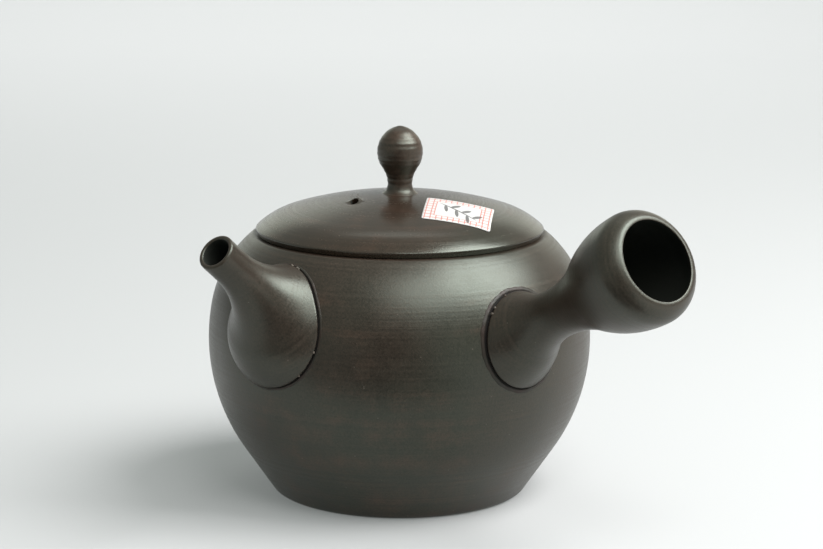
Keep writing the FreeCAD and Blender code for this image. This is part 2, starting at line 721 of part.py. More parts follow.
def make_strainer(cavity):
    """A pierced half ball over the port, cut to the inside of the wall."""
    body = new_body("strainer_ball")
    outline = Outline(body, "strainer_outline")
    centre_height = SPOUT_SEAT - size["strainer_depth"]
    centre = (0.0, centre_height.number)
    inner = size["port_radius"] + size["strainer_margin"]
    outer = inner + size["strainer_wall"]
    outer_arc = outline.arc(centre, (0.0, centre[1] - outer.number), (outer.number, centre[1]))
    collar = outline.line((outer.number, centre[1]), (outer.number, centre[1] + outer.number))
    top = outline.line((outer.number, centre[1] + outer.number), (inner.number, centre[1] + outer.number))
    collar_in = outline.line((inner.number, centre[1] + outer.number), (inner.number, centre[1]))
    inner_arc = outline.arc(centre, (inner.number, centre[1]), (0.0, centre[1] - inner.number))
    axis = outline.line((0.0, centre[1] - inner.number), (0.0, centre[1] - outer.number))
    outline.blend(outer_arc, collar)
    outline.meet(collar, top, collar_in)
    outline.blend(collar_in, inner_arc)
    outline.meet(inner_arc, axis, outer_arc)
    outline.on_axis(axis.first)
    outline.on_axis(axis.last)
    outline.on_axis(outer_arc.centre)
    outline.tie("Coincident", outer_arc.centre, inner_arc.centre)
    outline.place(outer_arc.centre, y=centre_height)
    outline.radius(outer_arc, outer)
    outline.radius(inner_arc, inner)
    outline.upright(collar)
    outline.upright(collar_in)
    outline.level(top)
    outline.place(collar.last, y=centre_height + outer)
    turn(body, outline)

    drill(body, "strainer_middle_hole", size["strainer_hole"])
    for ring in range(1, RING_COUNT + 1):
        reach = size["strainer_pitch"] * ring
        sketch, pocket = drill(body, f"strainer_hole_{ring}", size["strainer_hole"], reach)
        pattern = body.newObject("PartDesign::PolarPattern", f"strainer_ring_{ring}")
        pattern.Originals = [pocket]
        pattern.Axis = (sketch, ["N_Axis"])
        pattern.Angle = FULL_TURN
        pattern.Occurrences = FIRST_RING_COUNT * ring
        body.Tip = pattern
        doc.recompute()
    body.setExpression("Placement", SPOUT_AXIS)
    doc.recompute()
    return combine("Part::Common", "spout_strainer", body, cavity)


def make_label():
    """A paper square lying on the dome."""
    skin = new_body("label_skin")
    outline = Outline(skin, "label_skin_outline")
    under = size["bond_gap"]
    over = size["bond_gap"] + size["label_paper"]
    start = size["knob_foot_radius"]
    low_dome, low_edge, low_start, low_end = lid_dome(outline, under, start)
    high_dome, high_edge, high_start, high_end = lid_dome(outline, over, start)
    inner = outline.line(low_start, high_start)
    outer = outline.line(low_end, high_end)
    outline.tie("Coincident", inner.first, low_dome.first)
    outline.tie("Coincident", inner.last, high_dome.first)
    outline.tie("Coincident", outer.first, low_edge.last)
    outline.tie("Coincident", outer.last, high_edge.last)
    turn(skin, outline)

    square = doc.addObject("Part::Box", "label_square")
    square.setExpression("Length", size["label_length"].text)
    square.setExpression("Width", size["label_width"].text)
    square.setExpression("Height", KNOB_SEAT_HEIGHT.text)
    centre_x = size["label_distance"] * cos(size["label_turn"])
    centre_y = size["label_distance"] * sin(size["label_turn"])
    square.setExpression(
        "Placement",
        f"placement(vector({centre_x.text}; {centre_y.text}; {RIM_HEIGHT.text}); "
        f"rotation(vector(0; 0; 1); {size['label_twist'].text})) * "
        f"placement(vector(-{size['label_length'].text} / 2; -{size['label_width'].text} / 2; 0); "
        f"rotation(vector(0; 0; 1); 0))",
    )
    doc.recompute()
    return combine("Part::Common", "paper_label", skin, square)


pot_shell = make_pot_shell()
port = doc.addObject("Part::Cylinder", "spout_port")
port.setExpression("Radius", size["port_radius"].text)
port.setExpression("Height", (SPOUT_SEAT + size["spout_neck_reach"] - SPOUT_TAIL).text)
port.setExpression(
    "Placement", f"{SPOUT_AXIS} * placement(vector(0; 0; {SPOUT_TAIL.text}); rotation(vector(0; 0; 1); 0))"
)
doc.recompute()
pot_body = combine("Part::Cut", "pot_body", pot_shell, port)

ENVELOPE_TOP = RIM_HEIGHT + ENVELOPE_RISE
slip_inside = wall_form("slip_inside", NOTHING - size["bond_gap"], NOTHING, ENVELOPE_TOP)
slip_face = size["bond_gap"] + size["slip_layer"]
slip_outside = wall_form("slip_outside", NOTHING - slip_face, NOTHING, ENVELOPE_TOP)
foot_form = wall_form("foot_form", NOTHING - slip_face - size["bond_gap"], NOTHING, ENVELOPE_TOP)
slip_shell = combine("Part::Cut", "slip_shell", slip_outside, slip_inside)
cavity_inset = size["pot_wall"] + size["bond_gap"]
cavity_form = wall_form("cavity_form", cavity_inset, size["pot_floor"], RIM_HEIGHT)

spout = combine("Part::Cut", "spout", spout_tube("spout_tube", NOTHING), foot_form)
spout_slip = combine(
    "Part::Common", "spout_slip", spout_tube("spout_slip_tube", size["slip_recess"]), slip_shell
)
handle = combine("Part::Cut", "handle", handle_tube("handle_tube", NOTHING), foot_form)
handle_slip = combine(
    "Part::Common", "handle_slip", handle_tube("handle_slip_tube", size["slip_recess"]), slip_shell
)
spout_strainer = make_strainer(cavity_form)
lid = make_lid()
lid_knob = make_knob()
paper_label = make_label()
doc.recompute()

nodes = [
    pot_body,
    spout,
    spout_slip,
    spout_strainer,
    handle,
    handle_slip,
    lid,
    lid_knob,
    paper_label,
]
for item in doc.Objects:
    if {"Invalid", "Error"} & set(item.State):
        raise RuntimeError(f"{item.Label} did not build: {item.State}")
for node in nodes:
    shape = node.Shape
    if shape.isNull() or not shape.isValid() or len(shape.Solids) != 1:
        raise RuntimeError(f"{node.Label}: {len(shape.Solids)} solids, valid {shape.isValid()}")

os.makedirs("parts", exist_ok=True)
for node in nodes:
    node.Shape.exportStep(f"parts/{node.Label}.step")
    box = node.Shape.BoundBox
    print(f"{node.Label}: {node.Shape.Volume:.1f} mm3, z {box.ZMin:.2f} to {box.ZMax:.2f}")
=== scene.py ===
import math

import bmesh
import bpy
from bpy.props import FloatProperty, FloatVectorProperty, PointerProperty
from mathutils import Matrix, Vector


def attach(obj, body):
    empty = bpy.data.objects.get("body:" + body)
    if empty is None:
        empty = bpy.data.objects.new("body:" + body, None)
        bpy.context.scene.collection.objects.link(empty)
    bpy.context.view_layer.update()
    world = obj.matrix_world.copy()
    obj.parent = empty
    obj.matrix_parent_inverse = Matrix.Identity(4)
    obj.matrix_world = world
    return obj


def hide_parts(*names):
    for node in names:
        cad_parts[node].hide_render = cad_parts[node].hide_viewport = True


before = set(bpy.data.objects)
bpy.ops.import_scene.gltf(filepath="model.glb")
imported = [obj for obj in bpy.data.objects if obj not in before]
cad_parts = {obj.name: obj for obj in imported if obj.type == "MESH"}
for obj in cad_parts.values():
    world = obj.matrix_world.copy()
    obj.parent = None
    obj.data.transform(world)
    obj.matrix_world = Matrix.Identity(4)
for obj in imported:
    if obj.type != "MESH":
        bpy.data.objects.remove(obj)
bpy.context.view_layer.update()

bl_info = {
    "name": "Side-handled teapot",
    "version": (1, 0, 0),
    "blender": (4, 5, 0),
    "location": "View3D > Sidebar > Teapot",
    "description": "Builds the visible clay, seams and label of a side-handled stoneware teapot",
    "category": "Object",
}

MM = 0.001

# Points round a ring, rows along a piece, and the radius below which a ring is one point
POT_STEPS = 256
ARM_STEPS = 192
KNOB_STEPS = 128
HOLE_STEPS = 48
DRIP_STEPS = 32
LABEL_STEPS = 48
KNOB_ROWS = 60
BALL_ROWS = 32
FOOT_ROWS = 70
INNER_FOOT_ROWS = 40
BULB_ROWS = 40
MOUTH_ROWS = 24
TIP_ROWS = 8
SEAM_ROUNDS = 8
# Rows that bound the inside of the spout and of the handle's mouth, which is painted dark as shade
SPOUT_INSIDE_ROWS = 3
HANDLE_LIP_ROWS = 2
POLE = 0.001 * MM

# The base's ring and hollow, as shares of the base and of the ring, and the waves of the finger ridges
FOOT_RING_SHARE = 0.86
HOLLOW_SHARE = 0.96
BROAD_RIDGE = 2.1 * MM
FINE_RIDGE = 0.9 * MM

# Softness of the small corners that the sizes below don't hold
HOLLOW_ROUND = 1.2 * MM
FOOT_RING_ROUND = 0.4 * MM
THROAT_ROUND = 0.6 * MM
FLOOR_ROUND = 2.5 * MM
CEILING_ROUND = 2.0 * MM
FLANGE_ROUND = 0.8 * MM
SEAT_ROUND = 0.4 * MM
BAND_ROUND = 0.3 * MM
RIM_ROUND = 0.5 * MM
RIM_INNER_ROUND = 0.45 * MM

# Cutting a foot or the strainer's edge to the wall
CUT_DEPTH = 60.0 * MM
CUT_HALVINGS = 48
BALL_REACHES = (0.2, 1.6)

# Holes: the port's bore, the steam hole, its pushed-up clay and the reach of the painted shade in it, the
# strainer's rings, and slivers
PORT_SINK = 8.0 * MM
PORT_REACH = 11.0 * MM
STEAM_REACH = 6.0 * MM
STEAM_SLANT = 0.45
STEAM_SPREAD = 0.8 * MM
STEAM_PATCH = 3.5
STEAM_BIAS = 0.25
STEAM_SHADE = 1.02
HOLE_RINGS = 3
HOLES_ROUND = 6
DRIP_REACH = 0.8
SLIVER = 0.003 * MM
SHARP_EDGE = math.radians(40.0)

# The seam: how deep its edges lie in the wall, and the height of the slip under the foot
SEAM_SINK = 0.3 * MM
GROOVE_END = 0.02 * MM
SLIP_HEIGHT = 0.05 * MM

# Crumbs of dry clay: places as shares of the way round the foot, sizes, and distance outside the foot
SPOUT_CRUMBS = (0.436, 0.446, 0.474, 0.17, 0.108, 0.965, 0.61, 0.72)
HANDLE_CRUMBS = (0.56, 0.635, 0.66, 0.31)
CRUMB_SIZE = 0.33 * MM
CRUMB_SPREAD = 0.15 * MM
CRUMB_OUT = 0.04 * MM

# Scales of the patterns in the clay, slip, paper, floor and felt, in cells per metre
CLOUD_SCALE = 21.0
COOL_SCALE = 17.0
FADING_SCALE = 55.0
BLOTCH_SCALE = 110.0
GRIT_SCALE = 520.0
GRAIN_SCALE = 1700.0
FINE_LINES = 1100.0
BROAD_LINES = 240.0
SLIP_GRAIN = 1500.0
SLIP_BLOTCH = 220.0
PAPER_FIBRE = 2600.0
FLOOR_TOOTH = 900.0
FELT_FIBRE = 400.0

# Index of refraction of each skin
CLAY_IOR = 1.57
SLIP_IOR = 1.4
PAPER_IOR = 1.45

# The knob: how far its foot sinks into the lid, and the radius inside which its rings fade
KNOB_SINK = 0.05 * MM
KNOB_CALM = 3.0 * MM

# The label's border, as shares of its half-width, and where the lifted corner starts
BORDER_IN = 0.66
BORDER_OUT = 0.97
BORDER_LINE = 0.014
CHECK_STRETCH = 1.4
CURL_START = 1.2

# The label's sprig: the stem's lean, and the leaves' number, spacing and sizes
STEM_LEAN = math.radians(-24.0)
STEM_SIZE = (6.0 * MM, 0.2 * MM)
LEAF_SPREAD = math.radians(50.0)
LEAF_COUNT = 6
LEAF_MIDDLE = 2.4
LEAF_PITCH = 1.75 * MM
LEAF_OUT = 1.5 * MM
LEAF_SIZE = (1.4 * MM, 0.5 * MM)

# Plain colours of deep shade, the groove, the felt card, the clay's sheen, the floor's painted glow and
# the studio's light
BLACK = (0.0, 0.0, 0.0, 1.0)
WHITE = (1.0, 1.0, 1.0, 1.0)
# Painted shade in the groove and under the arm's foot
GROOVE_SHADE = (0.002, 0.0015, 0.001, 1.0)
FELT_DARK = (0.02, 0.02, 0.02, 1.0)
FELT_NAP = (0.06, 0.06, 0.06, 1.0)
CLAY_SHEEN = (0.88, 1.0, 0.87, 1.0)
FLOOR_GLOW = (0.94, 1.0, 0.98, 1.0)
SURROUND = (0.9, 1.0, 0.95, 1.0)
PLAIN_LIGHT = (1.0, 1.0, 1.0)
GREEN_LIGHT = (0.97, 1.0, 0.84)

# Lamps on the pot: name, power, way to it (right, toward the camera, up), distance, width, spread, tint
POT_LAMPS = (
    ("key_light", "key", (0.61, 0.11, 0.75), 0.9, 0.72, 180.0, PLAIN_LIGHT),
    ("top_light", "top", (0.25, 0.55, 0.78), 1.3, 0.85, 180.0, PLAIN_LIGHT),
    ("right_rim", "rim", (0.36, -0.88, 0.27), 1.1, 0.7, 50.0, GREEN_LIGHT),
    ("left_rim", "rim", (-0.36, -0.88, 0.3), 1.1, 0.7, 50.0, GREEN_LIGHT),
)

# Lamps over the floor: name, power and place (right, toward the camera) in metres
FLOOR_LAMPS = (
    ("back_light", "back", (0.0, -1.6)),
    ("front_light", "front", (0.0, 1.7)),
    ("left_light", "sides", (-2.0, 0.0)),
    ("right_light", "sides", (2.0, 0.0)),
)
FLOOR_LAMP_HEIGHT = 1.3
FLOOR_LAMP_WIDTH = 2.0
FLOOR_LAMP_SPREAD = 75.0
FLOOR_REACH = 4.0
FLOOR_DROP = 0.02 * MM

# Edges of the dark card, in metres: distance toward the camera, left end, right end and height
CARD_EDGES = ((0.13, -0.5, 0.1, 0.002), (1.2, -0.5, 0.25, 0.002), (1.2, -0.5, 0.25, 0.6))


def number(name, description, value, **kind):
    return FloatProperty(name=name, description=description, default=value, **kind)


def length(name, description, millimetres):
    return number(name, description, millimetres * MM, unit="LENGTH", subtype="DISTANCE", precision=5)


def angle(name, description, degrees):
    return number(name, description, math.radians(degrees), unit="ROTATION", subtype="ANGLE")


def power(name, lamp, watts):
    return number(name, f"Power of {lamp}, in watts", watts, unit="POWER")


def colour(name, description, red, green, blue):
    return FloatVectorProperty(
        name=name, description=description, default=(red, green, blue), subtype="COLOR", min=0.0, max=1.0
    )


class PotSizes(bpy.types.PropertyGroup):
    belly_radius: length("Belly radius", "Widest half-width of the pot", 54.95)
    belly_height: length("Belly height", "Height of the widest ring", 44.2)
    belly_curve: length("Belly curve", "Radius of the wall's upright arc at the belly", 54.6)
    flank_lean: angle("Flank lean", "Lean of the straight flank from upright", 34.2)
    shoulder_start: angle("Shoulder start", "Where the shoulder leaves the belly arc", 12.3)
    shoulder_curve: length("Shoulder curve", "Radius of the shoulder's upright arc", 32.9)
    rim_height: length("Rim height", "Height of the flat lip", 74.5)
    wall: length("Wall", "Thickness of the pot's wall", 3.2)
    floor: length("Floor", "Thickness of the pot's floor", 4.0)
    lip_width: length("Lip width", "Flat ring round the mouth", 3.6)
    lip_round: length("Lip round", "Softness of the lip's edges", 0.7)
    base_round: length("Base round", "Softness of the edge of the base", 1.5)
    base_hollow: length("Base hollow", "How far the middle of the base is turned hollow", 0.6)
    port_radius: length("Port radius", "Opening in the wall behind the spout", 9.0)
    ridge: length("Throwing ridge", "Height of the finger ridges inside the pot", 0.12)


class SpoutSizes(bpy.types.PropertyGroup):
    turn: angle("Turn", "Direction of the spout round the pot", -80.0)
    lift: angle("Lift", "Rise of the spout's axis", 40.0)
    rise: length("Rise", "Height of the axis above the belly, at the belly's cylinder", 19.4)
    foot_radius: length("Foot radius", "Radius of the spout's foot", 19.2)
    foot_depth: length("Foot depth", "Distance of the foot behind the belly's cylinder", 15.0)
    foot_round: length("Foot round", "Radius of the foot's swelling arc", 15.0)
    neck_reach: length("Neck reach", "Start of the straight tube beyond the belly's cylinder", 17.2)
    tip_reach: length("Tip reach", "End of the tube beyond the belly's cylinder", 23.6)
    tip_radius: length("Tip radius", "Radius of the tube", 5.25)
    seam_width: number("Seam width", "Width of the scored seam, as a share", 1.0, subtype="FACTOR")
    wall: length("Wall", "Thickness at the foot", 2.6)
    tip_wall: length("Tip wall", "Thickness at the tip", 1.3)


class StrainerSizes(bpy.types.PropertyGroup):
    depth: length("Depth", "Middle of the ball behind the belly's cylinder, on the spout's axis", 7.2)
    margin: length("Margin", "Width of the ball's inside beyond the port", 1.8)
    wall: length("Wall", "Thickness of the ball", 1.8)
    hole_radius: length("Hole radius", "Radius of each hole", 0.8)
    pitch: length("Pitch", "Distance between the rings of holes", 2.9)
    gap: length("Gap", "Gap between the ball's edge and the wall", 0.05)


class HandleSizes(bpy.types.PropertyGroup):
    lift: angle("Lift", "Rise of the handle's axis", 28.45)
    rise: length("Rise", "Height of the axis above the belly, at the belly's cylinder", 11.3)
    foot_radius: length("Foot radius", "Radius of the handle's foot", 16.2)
    foot_depth: length("Foot depth", "Distance of the foot behind the belly's cylinder", 19.5)
    foot_round: length("Foot round", "Radius of the foot's swelling arc", 43.0)
    waist_radius: length("Waist radius", "Radius of the narrow waist", 6.8)
    waist_reach: length("Waist reach", "Place of the waist beyond the belly's cylinder", 14.8)
    bulb_radius: length("Bulb radius", "Radius of the wide end", 15.45)
    bulb_reach: length("Bulb reach", "Place of the wide end beyond the belly's cylinder", 50.5)
    bulb_round: length("Bulb round", "Radius of the arc that opens into the bulb", 39.0)
    mouth_inset: length("Mouth inset", "How far the mouth draws in from the bulb", 3.45)
    mouth_depth: length("Mouth depth", "Distance of the rim beyond the bulb", 6.0)
    seam_width: number("Seam width", "Width of the scored seam, as a share", 1.7, subtype="FACTOR")
    wall: length("Wall", "Thickness of the handle", 2.3)
    lip: length("Lip", "Thickness of the rolled lip", 1.1)


class SeamSizes(bpy.types.PropertyGroup):
    foot_edge: length("Foot edge", "Height of the foot's rounded edge above the wall", 0.9)
    edge_reach: length("Edge reach", "How far that edge turns in under the foot", 0.8)
    groove: length("Groove", "Distance of the scored groove's bottom outside the foot", 0.14)
    burr: length("Burr", "Distance of the burr's crest outside the foot", 0.48)
    burr_height: length("Burr height", "Height of the burr that the scoring tool raised", 0.13)
    toe: length("Toe", "Distance at which the burr runs out on the wall", 1.0)


class LidSizes(bpy.types.PropertyGroup):
    ledge: length("Ledge", "Lip left showing outside the lid", 0.45)
    band: length("Band", "Upright band below the crease", 1.6)
    crease_inset: length("Crease inset", "Crease from the widest ring of the lid", 0.4)
    undercut: length("Undercut", "How far the band draws in below the crease", 0.75)
    edge_curve: length("Edge curve", "Radius of the dome's outer arc", 21.8)
    edge_angle: angle("Edge angle", "Direction of the outer arc's end at the crease", 46.3)
    dome_curve: length("Dome curve", "Radius of the dome's middle arc", 112.7)
    wall: length("Wall", "Thickness of the lid", 3.2)
    play: length("Play", "Gap between the flange and the mouth", 0.6)
    flange_depth: length("Flange depth", "Depth of the flange below the lip", 6.0)
    flange_wall: length("Flange wall", "Thickness of the flange", 3.0)
    crease_round: length("Crease round", "Softness of the crease", 0.35)
    steam_radius: length("Steam hole radius", "Radius of the steam hole", 1.2)
    steam_distance: length("Steam hole distance", "Steam hole from the lid's centre", 15.9)
    steam_turn: angle("Steam hole turn", "Direction of the steam hole", -92.0)
    steam_burr: length("Steam hole burr", "Height of the clay pushed up beside the steam hole", 0.62)
    steam_lean: angle("Steam hole lean", "Side on which the clay is pushed up", 115.0)


class KnobSizes(bpy.types.PropertyGroup):
    foot_radius: length("Foot radius", "Radius of the knob's foot", 5.2)
    waist_radius: length("Waist radius", "Radius of the knob's waist", 3.5)
    waist_height: length("Waist height", "Height of the waist above the lid", 2.7)
    radius: length("Radius", "Widest radius of the knob", 6.5)
    middle_height: length("Middle height", "Height of the widest ring above the lid", 12.0)
    height: length("Height", "Height of the tip above the lid", 19.4)
    tip_round: length("Tip round", "Radius of the tip", 3.0)
    ring: length("Ring", "Depth of the turned rings", 0.05)
    ring_pitch: length("Ring pitch", "Distance between the turned rings", 1.6)


class LabelSizes(bpy.types.PropertyGroup):
    width: length("Width", "First side of the paper", 19.0)
    depth: length("Depth", "Second side of the paper", 18.5)
    paper: length("Paper", "Thickness of the paper", 0.15)
    gap: length("Gap", "Gap of glue under the paper", 0.05)
    distance: length("Distance", "Middle of the label from the lid's centre", 23.6)
    turn: angle("Turn", "Direction of the label's middle", 5.0)
    twist: angle("Twist", "Turn of the label's sides", 45.6)
    corner: length("Corner", "Radius of the label's corners", 0.7)
    curl: length("Curl", "How far one corner has lifted", 0.06)
    check: length("Check", "Distance between the printed lines", 1.6)
    line: number("Line", "Half-width of a printed line, as a share", 0.09, subtype="FACTOR")


class Finish(bpy.types.PropertyGroup):
    clay: colour("Clay", "Main colour of the fired clay", 0.0262, 0.0165, 0.0115)
    warm: colour("Warm clay", "Red-brown of the clay where the fire was hotter", 0.0430, 0.0232, 0.0155)
    ash: colour("Cool clay", "Grey-green of the clay where it was cooler", 0.0205, 0.0187, 0.0127)
    speck: colour("Speck", "Pale grit in the clay", 0.26, 0.22, 0.18)
    paper: colour("Paper", "White of the label", 0.52, 0.51, 0.495)
    print_red: colour("Print", "Pale red of the label's lines", 0.42, 0.12, 0.095)
    ink: colour("Ink", "Dark ink of the label's sprig", 0.035, 0.032, 0.032)
    floor: colour("Floor", "Pale grey of the floor", 0.40, 0.40, 0.401)


class StageSizes(bpy.types.PropertyGroup):
    lens: number("Lens", "Focal length", 104.98, unit="CAMERA")
    distance: length("Camera distance", "Level distance of the camera from the pot's axis", 676.8)
    height: length("Camera height", "Height of the camera above the floor", 198.7)
    azimuth: angle("Camera direction", "Direction of the camera round the pot", -38.54)
    tilt: angle("Tilt", "How far the camera looks down", 11.41)
    pan: angle("Pan", "How far the camera looks to the right of the pot's axis", 0.288)
    roll: angle("Roll", "Roll of the camera", -0.236)
    key: power("Key", "the large soft light", 13.6)
    back: power("Back", "the light on the sweep", 11.4)
    front: power("Front", "the light in front", 14.0)
    sides: power("Sides", "each light at the sides", 9.0)
    top: power("Top", "the overhead light", 8.0)
    rim: power("Rim", "each light behind", 0.075)
    sweep_start: length("Sweep start", "Where the floor begins to rise behind the pot", 1150.0)
    sweep_curve: length("Sweep curve", "Radius of the rise", 450.0)
    sweep_height: length("Sweep height", "Height of the backdrop", 750.0)
    sky: number("Surround", "Strength of the dim surround", 0.42)
    glow: number("Floor glow", "Strength of the light through the floor", 0.14)


class TeapotSettings(bpy.types.PropertyGroup):
    pot: PointerProperty(type=PotSizes)
    spout: PointerProperty(type=SpoutSizes)
    strainer: PointerProperty(type=StrainerSizes)
    handle: PointerProperty(type=HandleSizes)
    seam: PointerProperty(type=SeamSizes)
    lid: PointerProperty(type=LidSizes)
    knob: PointerProperty(type=KnobSizes)
    label: PointerProperty(type=LabelSizes)
    finish: PointerProperty(type=Finish)
    stage: PointerProperty(type=StageSizes)


class Value:
    """A socket of a shader; arithmetic on it adds Math nodes."""

    def __init__(self, shader, socket):
        self.shader = shader
        self.socket = socket

    def calc(self, operation, *others):
        inputs = dict(enumerate((self, *others)))
        return self.shader.node("ShaderNodeMath", {"operation": operation}, inputs)

    def __add__(self, other):
        return self.calc("ADD", other)

    def __radd__(self, other):
        return self.calc("ADD", other)

    def __sub__(self, other):
        return self.calc("SUBTRACT", other)

    def __rsub__(self, other):
        return (self * -1.0) + other

    def __mul__(self, other):
        return self.calc("MULTIPLY", other)

    def __rmul__(self, other):
        return self.calc("MULTIPLY", other)

    def __truediv__(self, other):
        return self.calc("DIVIDE", other)

    def __rtruediv__(self, other):
        return self.calc("POWER", -1.0) * other

    def __lt__(self, other):
        return self.calc("LESS_THAN", other)

    def __gt__(self, other):
        return self.calc("GREATER_THAN", other)

    def __abs__(self):
        return self.calc("ABSOLUTE")

    def ramp(self, low, high):
        """0 at low, 1 at high, smooth between them."""
        inputs = {"Value": self, "From Min": low, "From Max": high}
        return self.shader.node("ShaderNodeMapRange", {"interpolation_type": "SMOOTHSTEP"}, inputs)


class Shader:
    """The node tree of one material."""

    def __init__(self, name):
        self.material = bpy.data.materials.new(name)
        self.material.use_nodes = True
        self.tree = self.material.node_tree
        self.tree.nodes.clear()

    def node(self, kind, settings=None, inputs=None, output=0):
        """Makes any node from its type, its settings and its sockets' values or links."""
        made = self.tree.nodes.new(kind)
        for name, value in (settings or {}).items():
            setattr(made, name, value)
        for place, value in (inputs or {}).items():
            if isinstance(value, Value):
                self.tree.links.new(value.socket, made.inputs[place])
            else:
                made.inputs[place].default_value = value
        return Value(self, made.outputs[output]) if made.outputs else None

    def mix(self, factor, first, second, blend="MIX"):
        settings = {"data_type": "RGBA", "blend_type": blend}
        return self.node("ShaderNodeMix", settings, {0: factor, 6: first, 7: second}, 2)

    def place(self):
        """Object coordinates, as a vector and as x, y and z."""
        vector = self.node("ShaderNodeTexCoord", output="Object")
        parts = [self.node("ShaderNodeSeparateXYZ", None, {0: vector}, axis) for axis in range(3)]
        return vector, parts

    def noise(self, vector, scale, detail=2.0, roughness=0.5):
        inputs = {"Vector": vector, "Scale": scale, "Detail": detail, "Roughness": roughness}
        return self.node("ShaderNodeTexNoise", None, inputs)

    def streaks(self, distance, scale, detail):
        inputs = {"W": distance, "Scale": scale, "Detail": detail}
        return self.node("ShaderNodeTexNoise", {"noise_dimensions": "1D"}, inputs)

    def attribute(self, name):
        """A share painted on the mesh's points; 0 on a mesh without it."""
        return self.node("ShaderNodeAttribute", {"attribute_name": name}, None, "Fac")

    def bump(self, strength, distance, height):
        inputs = {"Strength": strength, "Distance": distance, "Height": height}
        return self.node("ShaderNodeBump", None, inputs)

    def surface(self, uniform, **varying):
        """A Principled surface: uniform values on its own sockets, and what varies linked to it."""
        bsdf = self.node("ShaderNodeBsdfPrincipled", None, {**uniform, **varying})
        self.node("ShaderNodeOutputMaterial", None, {"Surface": bsdf})
        return self.material


def rgba(colour_value):
    return (*colour_value, 1.0)


def stoneware(finish, name, across="height", warmth=0.5, matt=0.36, patchy=1.0, lines=1.0, hole=None):
    """Burnished unglazed clay with turning lines; across says which way the lines lie.

    It is dull, and painted dark as shade, where the mesh's inside share says so, or in the hole, if there
    is one.
    """
    shader = Shader(name)
    place, (x, y, z) = shader.place()
    turned = z
    if across == "radius":
        turned = (x * x + y * y).calc("SQRT")
    cloud = shader.noise(place, CLOUD_SCALE, 3.0)
    blotch = shader.noise(place, BLOTCH_SCALE, 4.0, 0.6)
    grain = shader.noise(place, GRAIN_SCALE, 3.0, 0.7)
    wander = (blotch - 0.5) * (0.0006 * patchy)
    fine = shader.streaks(turned + wander, FINE_LINES, 4.0)
    broad = shader.streaks(turned + wander, BROAD_LINES, 3.0)
    fading = shader.noise(place, FADING_SCALE, 2.0).ramp(0.35, 0.7)

    cold = 0.66 - 0.3 * warmth
    heat = (cloud * 0.65 + blotch * 0.35 + (broad - 0.5) * 0.25).ramp(cold, cold + 0.2)
    cool = shader.noise(place, COOL_SCALE, 2.0).ramp(0.45, 0.7)
    clay = shader.mix(cool, rgba(finish.clay), rgba(finish.ash))
    clay = shader.mix(heat, clay, rgba(finish.warm))
    spots = (grain - 0.5) * (1.9 * patchy) + (blotch - 0.5) * (0.6 * patchy)
    shade = 1.0 + (fine - 0.5) * (0.5 + fading) * (0.65 * lines) + spots
    grey = shader.node("ShaderNodeCombineColor", None, {0: shade, 1: shade, 2: shade})
    clay = shader.mix(1.0, clay, grey, "MULTIPLY")
    grit = {"Vector": place, "Scale": GRIT_SCALE}
    near = shader.node("ShaderNodeTexVoronoi", None, grit, "Distance")
    chance = shader.node("ShaderNodeTexVoronoi", None, grit, "Color")
    picked = shader.node("ShaderNodeSeparateColor", None, {0: chance}) > 0.86
    clay = shader.mix(picked * (1.0 - near.ramp(0.05, 0.14)) * 0.22, clay, rgba(finish.speck))
    # Painted shade in the steam hole: a slanted rod round its axis marks the clay to darken
    if hole:
        spot, lean, radius = hole
        sides = zip((x, y), spot, lean)
        aside = [part - middle - (z - spot.z) * slope for part, middle, slope in sides]
        inside = (aside[0] * aside[0] + aside[1] * aside[1]).calc("SQRT") < radius
    else:
        inside = shader.attribute("inside")
    # Painted shade: the inside of a tube, or the steam hole, is darkened nearly to black
    clay = shader.mix(inside * 0.9, clay, BLACK)

    rough = matt + (blotch - 0.5) * (0.16 * patchy) + (fine - 0.5) * 0.12
    rough = (rough + (grain - 0.5) * (0.22 * patchy)).calc("MAXIMUM", inside * 0.9)
    relief = fine * (0.3 + fading * 0.7) * (0.55 * lines) + broad * 0.25 + grain * (0.5 * patchy)
    bump = shader.bump(0.45, 0.14 * MM, relief)
    uniform = {"IOR": CLAY_IOR, "Specular Tint": CLAY_SHEEN}
    return shader.surface(uniform, **{"Base Color": clay, "Roughness": rough, "Normal": bump})


def slip_clay(finish, name, pale=0.0):
    """The matt slip of a seam: unburnished clay, painted dark as shade in the groove and under the foot,
    and pale on the crumbs, partly as dried clay and partly as painted highlight.
    """
    shader = Shader(name)
    place, _ = shader.place()
    grain = shader.noise(place, SLIP_GRAIN, 4.0, 0.7)
    blotch = shader.noise(place, SLIP_BLOTCH, 3.0)
    groove = shader.attribute("groove")
    clay = shader.mix(blotch.ramp(0.35, 0.65), rgba(finish.clay), rgba(finish.ash))
    # Pale on the crumbs: partly paler dried clay, partly painted highlight
    clay = shader.mix(pale, clay, rgba(finish.speck))
    # Painted shade: the groove and the slip under the foot are darkened
    clay = shader.mix(groove * 0.8, clay, GROOVE_SHADE)
    rough = 0.5 + groove * 0.35 + (grain - 0.5) * 0.3
    bump = shader.bump(0.5, 0.1 * MM, grain)
    return shader.surface({"IOR": SLIP_IOR}, **{"Base Color": clay, "Roughness": rough, "Normal": bump})


def leaf(x, y, middle, turn, long, wide):
    """1 inside a slanted oval leaf of the label's sprig, 0 outside it."""
    right, up = x - middle[0], y - middle[1]
    along = (right * math.cos(turn) + up * math.sin(turn)) / long
    over = (up * math.cos(turn) - right * math.sin(turn)) / wide
    return (along * along + over * over) < 1.0


